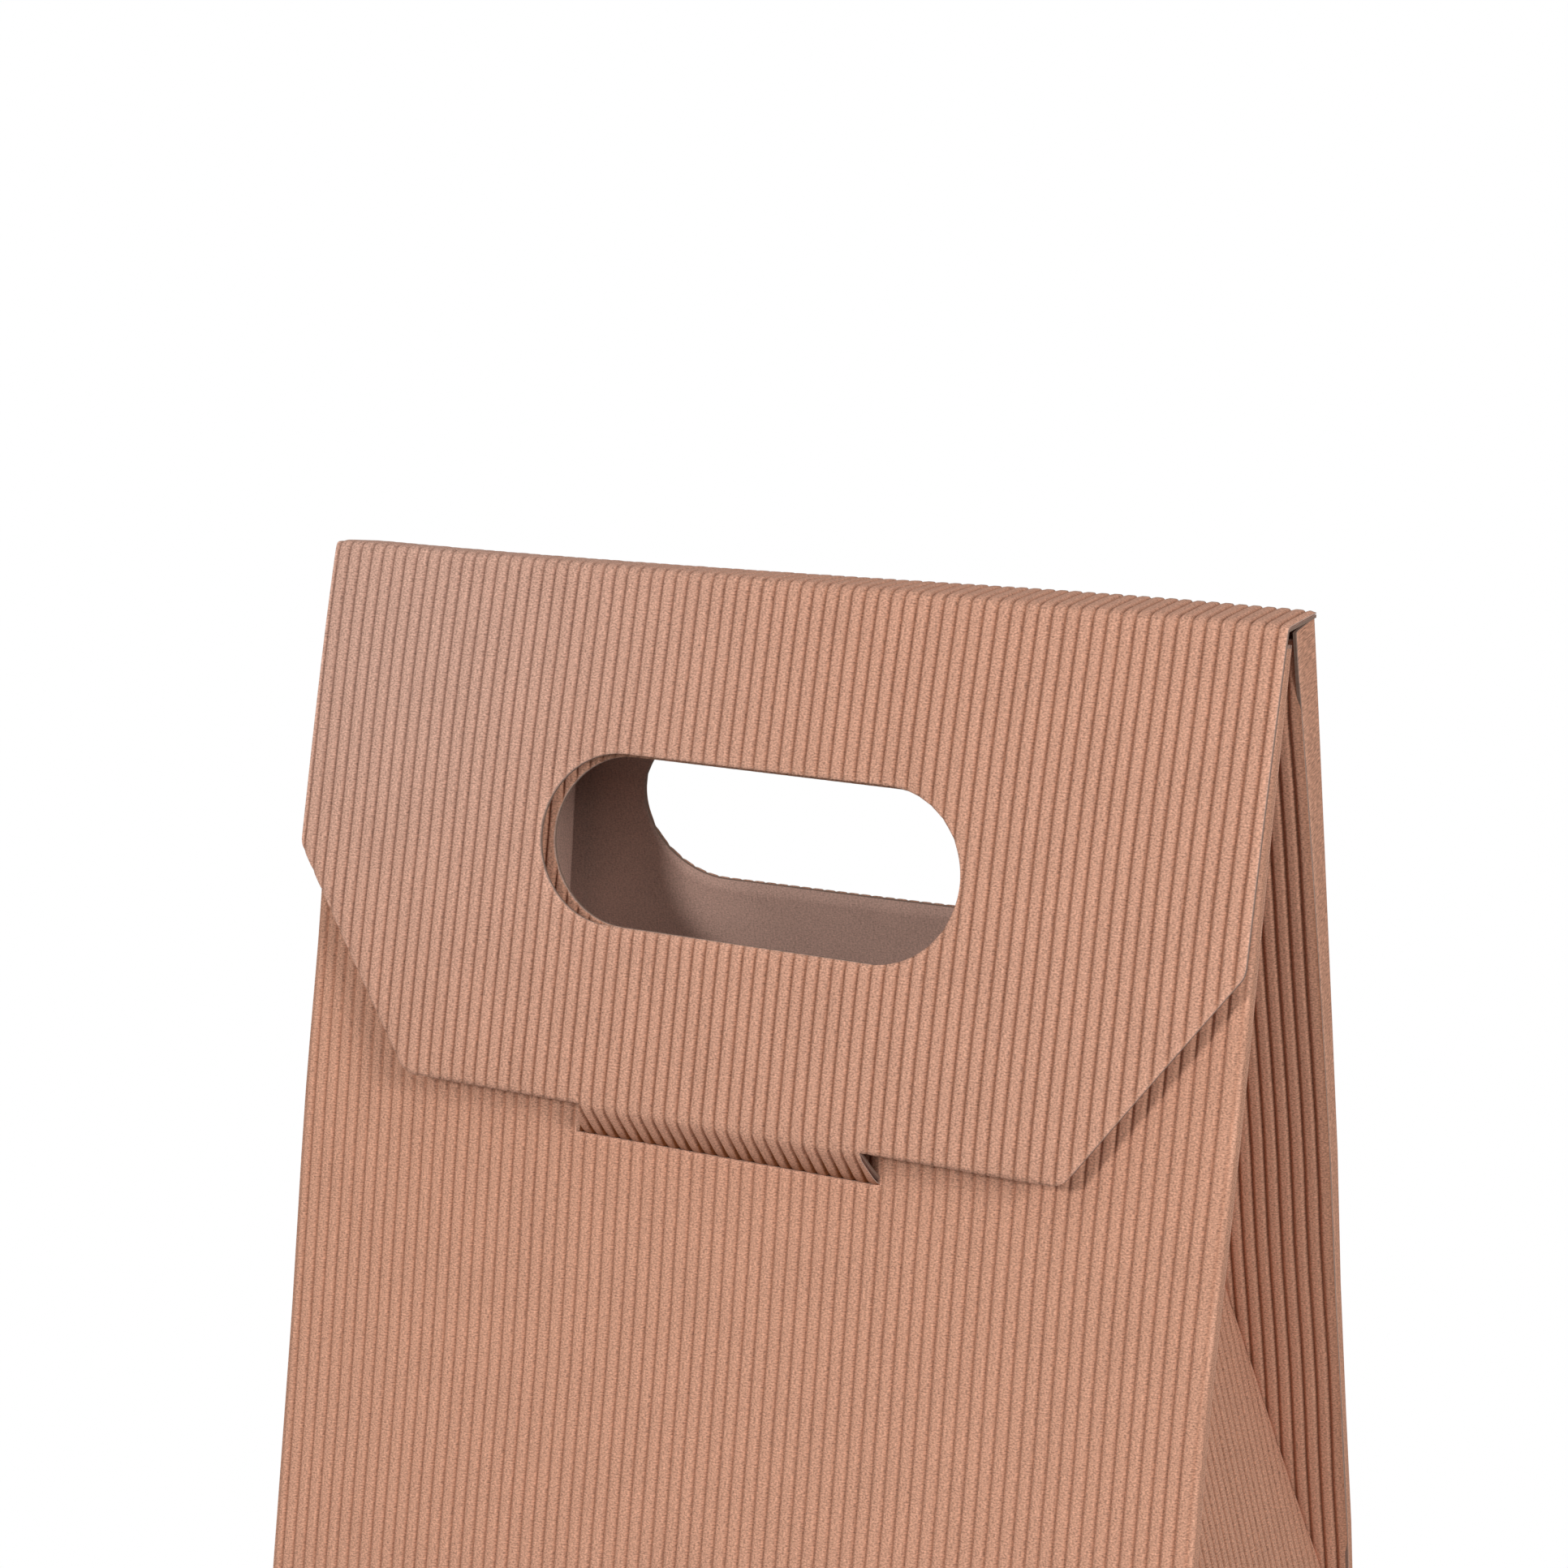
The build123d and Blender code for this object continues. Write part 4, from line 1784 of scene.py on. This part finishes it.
@dataclass
class GussetEnd(CardPiece):
    """One end of the box: the upright wall, the triangle folded in over it, and two wings.

    Attributes:
        name: First part of the pieces' names.
        side: Which end it is.
        flat_height: Height of the triangle in the flat blank.
        middle_gap: Gap that each wing leaves to the middle plane under the ridge.
        middle_stop: Distance from the middle plane that no point of a wing goes past.
        ridge_drop: How far below the ridge the wings end.
        bulge: How far the triangle and the diagonals bow out halfway up.
        slack: How far the tip is less drawn in than the folds would have it.
        over_wall: How far over the wall the triangle's rows start.
        valleys: Place across of the first valley, in pitches, on the triangle and on a wing.
        seeds: Seed of the small differences between flutes, on the triangle and on a wing.
        contrasts: Factor of the flutes' contrast, on the triangle and on a wing; it deepens the
            valleys' colour, which is partly painted shade.
        diagonal_crush: Share of the flutes' height lost on a diagonal, and its reach.
        edge_crush: The same at the wall's upright edges.
        panel_crush: The same where a wing leaves the roof panel.
        torn_waves: Lengths of the two waves that set where a diagonal is torn pale.
        torn_turn: Turn of the second wave.
        torn_cut: Height of the waves above which it is torn.
        torn: How much paler it is torn, how far from the fold, and its reach.
        fold_shade: How much painted shade darkens the triangle in its diagonal folds, and its
            reach.
        wing_shade: The same for a wing.
        panel_shade: How much painted shade darkens a wing where it leaves the roof panel, and its
            reach.
    """

    name: str = "right_end"
    side: Side = Side.RIGHT
    flat_height: float = 212.0
    middle_gap: float = 0.5
    middle_stop: float = 0.3
    ridge_drop: float = 3.4
    bulge: float = 0.7
    slack: float = 0.0
    over_wall: float = 0.05
    valleys: Span = (0.5, 0.9)
    seeds: tuple[int, int] = (11, 5)
    contrasts: Span = (1.45, 1.16)
    diagonal_crush: Span = (0.6, 0.7)
    edge_crush: Span = (1.0, 0.8)
    panel_crush: Span = (0.5, 0.8)
    torn_waves: Span = (3.1, 1.3)
    torn_turn: float = 1.0
    torn_cut: float = 0.9
    torn: Triple = (0.6, 0.5, 0.4)
    fold_shade: Span = (0.9, 0.28)
    wing_shade: Span = (0.5, 0.5)
    panel_shade: Span = (0.6, 1.1)

    def corner_depth(self) -> float:
        """Half the width of the triangle's foot."""
        return self.form.half_depth - self.form.end_band

    def rise(self) -> float:
        """How far a diagonal rises in the flat blank for its run across."""
        return self.flat_height / self.corner_depth()

    def tilt(self) -> float:
        """Lean of the triangle: the one at which the wings keep their lengths in the flat blank.

        Its cosine is the triangle's height, less the foot's half width times the sine of the roof's
        lean, over the height times the cosine of that lean.

        Returns:
            The lean, in radians.
        """
        flat, lean = self.flat_height, self.form.lean()
        upright = flat - self.corner_depth() * math.sin(lean)
        return math.acos(upright / (flat * math.cos(lean)))

    def tip(self) -> Array:
        """Tip of the triangle at the right end."""
        inwards, up = (self.flat_height * part(self.tilt()) for part in (math.sin, math.cos))
        return np.array([self.form.half_width - inwards, 0.0, self.form.wall + up])

    def bowed(self, share: Array) -> Array:
        """How far the triangle stands out, by the share of its height: half a sine, plus slack."""
        inside = np.clip(share, 0.0, 1.0)
        return self.bulge * np.sin(np.pi * inside) + self.slack * inside

    def frayed(self, to_fold: Array, along: Array) -> Array:
        """Change of tone along the diagonals: painted shade in the fold, and torn pale in pieces
        beside it.

        Args:
            to_fold: Distance from the fold.
            along: Place along the flutes, which sets where the torn pieces are.

        Returns:
            Change of the paper's tone.
        """
        slow, quick = self.torn_waves
        waves = np.sin(along / slow) + np.sin(along / quick + self.torn_turn)
        torn = np.clip(waves - self.torn_cut, 0.0, 1.0)
        pale, beside, pale_reach = self.torn
        # Painted shade in the diagonal fold.
        dark, dark_reach = self.fold_shade
        return pale * torn * bell(to_fold - beside, pale_reach) - dark * bell(to_fold, dark_reach)

    def diagonal(self, across: Array) -> Array:
        """Upper edge of the triangle along its sheet, down from the tip to either side."""
        height = self.flat_height * (1.0 - np.abs(across) / self.corner_depth())
        return self.form.wall + np.maximum(height, self.over_wall)

    def triangle(self, ply: Ply) -> Shell:
        """Wall and triangle in one sheet, its upper edge along the two diagonals.

        Args:
            ply: Which sheet of the card it is.

        Returns:
            The sheet.
        """
        form, half, tip = self.form, self.corner_depth(), self.tip()
        corners = [(form.half_width, 0.0), (form.half_width, form.wall), (tip[0], tip[2])]
        path = FoldPath.through(corners, (form.fold_radius,), 1.0)
        below, above = (level(form.wall + past) for past in (-form.fold_room, self.over_wall))
        upper_rows = close_to_ends(16, 0.005, 0.01, -0.03, -0.015, -0.006)
        bands = [
            form.wall_band(),
            (below, above, close_to_ends(3, -0.2, -0.1)),
            (above, self.diagonal, upper_rows),
        ]
        grid = Grid.banded(self.stock.columns(ply, -half, half, [0.0]), bands)
        to_fold = (self.diagonal(grid.across) - grid.along) / math.hypot(1.0, self.rise())
        left = path.crush(grid.along, *form.fold_crush) * left_of(to_fold, self.diagonal_crush)
        left = left * left_of(grid.along, form.foot_crush)
        left = left * left_of(half - np.abs(grid.across), self.edge_crush)
        start = self.valleys[0] * self.stock.pitch
        outer, inner, tone = self.heights(grid, ply, start, left, self.seeds[0])
        # Deeper valleys, partly painted shade, plus the diagonals' torn pieces and painted fold
        # shade.
        tone = 1.0 - self.contrasts[0] * (1.0 - tone) + self.frayed(to_fold, grid.along)
        bowed = self.bowed((grid.along - form.wall) / self.flat_height)
        point, normal = path.at(grid.along)
        faces = []
        for height in (outer, inner):
            x, z = (point + height[:, None] * normal).T
            faces.append(np.stack([x + bowed, grid.across, z], axis=1))
        return self.turned(grid, faces, tone)

    def wing_plane(self) -> WingPlane:
        """Plane of the front wing at the right end."""
        foot = np.array([self.form.half_width, -self.corner_depth(), self.form.wall])
        return WingPlane.through(foot, self.tip(), self.form.lean())

    def wing_low(self, across: Array) -> Array:
        """Lower edge of a wing along its flutes, which is the diagonal."""
        return self.rise() * across

    def wing_high(self, across: Array) -> Array:
        """Upper edge of a wing, at the middle plane or below the ridge, whichever comes first.

        Args:
            across: Places across the wing.

        Returns:
            Places of the edge along the flutes.
        """
        plane = self.wing_plane()
        middle = plane.along_to(1, -self.middle_gap, across)
        ridge = plane.along_to(2, self.form.ridge_top - self.ridge_drop, across)
        return np.maximum(np.minimum(middle, ridge), self.wing_low(across))

    def wing(self, ply: Ply, sign: float) -> Shell:
        """One wing, from the roof panel's end to the diagonal.

        The back wing starts behind the back panel's wider plain band, and both wings follow the
        bowed diagonal, each by the share of the way from the one to the other.

        Args:
            ply: Which sheet of the card it is.
            sign: -1 for the front wing, 1 for the back wing.

        Returns:
            The sheet.
        """
        plane = self.wing_plane()
        rows = close_to_ends(16, 0.006, 0.015, 0.03)
        columns = self.stock.columns(ply, 0.0, self.corner_depth())
        grid = Grid.banded(columns, [(self.wing_low, self.wing_high, rows)])
        to_fold = (grid.along - self.wing_low(grid.across)) / math.hypot(1.0, self.rise())
        left = left_of(to_fold, self.diagonal_crush) * left_of(grid.across, self.panel_crush)
        start = self.valleys[1] * self.stock.pitch
        outer, inner, tone = self.heights(grid, ply, start, left, self.seeds[1])
        # Stronger flute contrast, which deepens the valleys' painted shade.
        tone = self.contrasts[1] * tone
        # Painted shade along the diagonal fold and where the wing leaves the roof panel.
        shades = ((to_fold, self.wing_shade), (grid.across, self.panel_shade))
        for distance, (dark, reach) in shades:
            tone = tone - dark * bell(distance, reach)
        # No division by zero at the foot, where a wing has no width
        inwards = self.wing_low(grid.across) / np.maximum(grid.along, 0.01)
        inwards = np.clip(inwards, 0.0, 1.0)
        bowed = self.bowed(grid.along / self.flat_height) * inwards
        band = np.zeros_like(bowed)
        if sign > 0:
            height = plane.foot[2] + grid.along * plane.up[2]
            band = self.settling.extra_band(height) * (1.0 - inwards)
        shift = np.stack([bowed, band, np.zeros_like(bowed)], axis=1)
        faces = []
        for height in (outer, inner):
            where = plane.at(grid, height) + shift
            where[:, 1] = np.minimum(where[:, 1], -self.middle_stop)
            faces.append(where * np.array([1.0, -sign, 1.0]))
        return self.turned(grid, faces, tone)

    def turned(self, grid: Grid, faces: Sequence[Array], tone: Array) -> Shell:
        """Closes a sheet, puts it on its own end of the box and lets it settle.

        Args:
            grid: The sheet laid out flat.
            faces: Points of the outer and the inner face, at the right end.
            tone: Tone of the paper.

        Returns:
            The sheet.
        """
        flip = np.array([self.side.value, 1.0, 1.0])
        outer, inner = (self.settling.moved(face * flip) for face in faces)
        return Shell.between(grid, outer, inner, tone)

    def sheets(self, ply: Ply) -> list[Shell]:
        """The wall with its triangle, the front wing and the back wing."""
        return [self.triangle(ply), self.wing(ply, -1.0), self.wing(ply, 1.0)]


@dataclass
class BasePlate(CardPiece):
    """The plain base of the box.

    Attributes:
        name: First part of the piece's name.
        inset: How far its edges lie inside the walls.
        thickness: Thickness of the glued base.
        steps: Number of faces across and along.
    """

    name: str = "base"
    plies: ClassVar[tuple[Ply, ...]] = (Ply.LINER,)
    inset: float = 0.2
    thickness: float = 1.2
    steps: tuple[int, int] = (60, 30)

    def sheets(self, ply: Ply) -> list[Shell]:
        """Works out the plate as a flat sheet with thickness, its outer face down.

        Args:
            ply: Which sheet of the card it is.

        Returns:
            The sheet.
        """
        width, depth = (
            half - self.inset for half in (self.form.half_width, self.form.half_depth)
        )
        across, along = (even(count) for count in self.steps)
        columns = -width + 2.0 * width * across
        grid = Grid.banded(columns, [(level(-depth), level(depth), along)])
        under = np.stack([grid.across, grid.along, np.zeros_like(grid.across)], axis=1)
        over = under + np.array([0.0, 0.0, self.thickness])
        return [Shell.between(grid, under, over, np.ones_like(grid.across))]


# Studio: camera, light and floor


@dataclass(frozen=True)
class ProductCamera:
    """The camera, as worked out from the flutes, the hole and the edges in the picture.

    Attributes:
        place: Where it stands, in millimetres.
        yaw: Turn from the direction of +Y towards -X, in degrees.
        pitch: Tilt below the horizon, in degrees.
        roll: Turn about its own axis, in degrees.
        focal_pixels: Focal length in pixels of the picture.
        picture: Width of the picture in pixels.
        sensor: Width of the sensor, in millimetres.
        clip: Nearest and furthest distance that it sees, in metres.
    """

    place: Triple = (245.7, -485.0, 498.4)
    yaw: float = 27.179
    pitch: float = 15.557
    roll: float = -0.883
    focal_pixels: float = 3985.2
    picture: float = 1932.0
    sensor: float = 36.0
    clip: Span = (0.01, 50.0)

    def build(self) -> Piece:
        """Makes the camera and gives it to the scene.

        Returns:
            The camera.
        """
        yaw, pitch, roll = (math.radians(angle) for angle in (self.yaw, self.pitch, self.roll))
        flat = math.cos(pitch)
        ahead = Vector((-math.sin(yaw) * flat, math.cos(yaw) * flat, -math.sin(pitch)))
        level_right = ahead.cross(Vector((0.0, 0.0, 1.0))).normalized()
        level_up = level_right.cross(ahead)
        right = math.cos(roll) * level_right + math.sin(roll) * level_up
        up = math.cos(roll) * level_up - math.sin(roll) * level_right
        data = bpy.data.cameras.new("product_camera")
        data.sensor_width = self.sensor
        data.lens = self.focal_pixels * self.sensor / self.picture
        data.clip_start, data.clip_end = self.clip
        camera = bpy.data.objects.new("product_camera", data)
        turn = Matrix((right, up, -ahead)).transposed()
        place = Matrix.Translation(Vector(self.place) * METRES_PER_MM)
        camera.matrix_world = place @ turn.to_4x4()
        bpy.context.scene.collection.objects.link(camera)
        bpy.context.scene.camera = camera
        return camera


@dataclass(frozen=True)
class SoftLamp:
    """A square soft box with white light.

    Attributes:
        name: Name of the lamp.
        place: Where it stands, in metres.
        target: Point that it faces, in metres.
        size: Side of the square, in metres.
        power: Power in watts.
    """

    name: str
    place: Triple
    target: Triple
    size: float
    power: float

    def build(self) -> Piece:
        """Makes the lamp.

        Returns:
            The lamp.
        """
        data = bpy.data.lights.new(self.name, "AREA")
        data.shape = "SQUARE"
        data.size = self.size
        data.energy = self.power
        lamp = bpy.data.objects.new(self.name, data)
        lamp.location = self.place
        lamp.rotation_mode = "QUATERNION"
        facing = Vector(self.target) - Vector(self.place)
        lamp.rotation_quaternion = facing.to_track_quat("-Z", "Y")
        bpy.context.scene.collection.objects.link(lamp)
        return lamp


@dataclass(frozen=True)
class Studio:
    """A white room with soft boxes and a small pale floor under the box.

    Attributes:
        ambient: Strength of the room's own light.
        floor_radius: Radius at which the floor has faded out, in metres.
        floor_solid: Radius up to which it is whole, in metres.
        floor_points: Points of its rim.
        floor_drop: How far it lies below the box's foot, in metres.
        floor_grey: Linear brightness of the floor.
        floor_roughness: Roughness of the floor.
        lamps: The soft boxes.
    """

    ambient: float = 0.32
    floor_radius: float = 0.33
    floor_solid: float = 0.17
    floor_points: int = 96
    floor_drop: float = 0.0005
    floor_grey: float = 0.86
    floor_roughness: float = 0.9
    lamps: tuple[SoftLamp, ...] = (
        SoftLamp("key_soft_box", (-0.164, -1.46, 1.006), (0.0, -0.02, 0.33), 0.2, 10.2),
        SoftLamp("fill_soft_box", (1.15, -0.66, 0.92), (0.08, 0.0, 0.30), 0.45, 9.6),
    )

    def build(self) -> None:
        """Sets the world, the view transform, the lamps and the floor."""
        bpy.context.scene.view_settings.view_transform = "Standard"
        self.build_world()
        for lamp in self.lamps:
            lamp.build()
        self.build_floor()

    def build_world(self) -> None:
        """White where it is seen directly, in gloss or through glass; plain light elsewhere."""
        world = bpy.data.worlds.new("white_room")
        world.use_nodes = True
        tree = world.node_tree
        tree.nodes.clear()
        rays = tree.nodes.new("ShaderNodeLightPath")
        seen = rays.outputs["Is Camera Ray"]
        for name in ("Is Glossy Ray", "Is Transmission Ray"):
            most = tree.nodes.new("ShaderNodeMath")
            most.operation = "MAXIMUM"
            tree.links.new(seen, most.inputs[0])
            tree.links.new(rays.outputs[name], most.inputs[1])
            seen = most.outputs["Value"]
        mix = tree.nodes.new("ShaderNodeMixShader")
        tree.links.new(seen, mix.inputs[0])
        for slot, strength in ((1, self.ambient), (2, 1.0)):
            room = tree.nodes.new("ShaderNodeBackground")
            room.inputs["Color"].default_value = (1.0, 1.0, 1.0, 1.0)
            room.inputs["Strength"].default_value = strength
            tree.links.new(room.outputs["Background"], mix.inputs[slot])
        output = tree.nodes.new("ShaderNodeOutputWorld")
        tree.links.new(mix.outputs["Shader"], output.inputs["Surface"])
        bpy.context.scene.world = world

    def build_floor(self) -> Piece:
        """Makes the floor, a disc that keeps the box's shadow and fades out towards its rim.

        Returns:
            The floor.
        """
        turn = np.linspace(0.0, 2.0 * math.pi, self.floor_points, endpoint=False)
        rim = np.stack([np.cos(turn), np.sin(turn), np.zeros_like(turn)], axis=1)
        mesh = bpy.data.meshes.new("floor")
        mesh.from_pydata((rim * self.floor_radius).tolist(), [], [list(range(len(rim)))])
        floor = bpy.data.objects.new("floor", mesh)
        floor.location = (0.0, 0.0, -self.floor_drop)
        bpy.context.scene.collection.objects.link(floor)
        desk = NodeDesk("pale_floor")
        desk.shader.inputs["Base Color"].default_value = (*[self.floor_grey] * 3, 1.0)
        desk.shader.inputs["Roughness"].default_value = self.floor_roughness
        place = desk.tree.nodes.new("ShaderNodeTexCoord").outputs["Object"]
        from_middle = desk.vector("LENGTH", place).outputs["Value"]
        cover = desk.fade(from_middle, self.floor_solid, self.floor_radius)
        desk.join(cover, desk.shader.inputs["Alpha"])
        mesh.materials.append(desk.material)
        return floor


def main() -> None:
    """Builds the carrier and its studio, in order."""
    logging.basicConfig(level=logging.INFO, format="%(message)s")
    form = CartonForm()
    card = (form, CardStock(), Finishes(), Settling(form))
    parts: tuple[CardPiece, ...] = (
        ClosureFlap(*card),
        CartonFace(*card),
        CartonFace(*card, name="back", sign=1.0, top_drop=0.45, hole_drop=48.6, slot_drop=None),
        GussetEnd(*card),
        GussetEnd(*card, name="left_end", side=Side.LEFT, slack=4.5),
        BasePlate(*card),
    )
    for part in parts:
        part.build()
    ProductCamera().build()
    Studio().build()


if __name__ == "__main__":
    main()
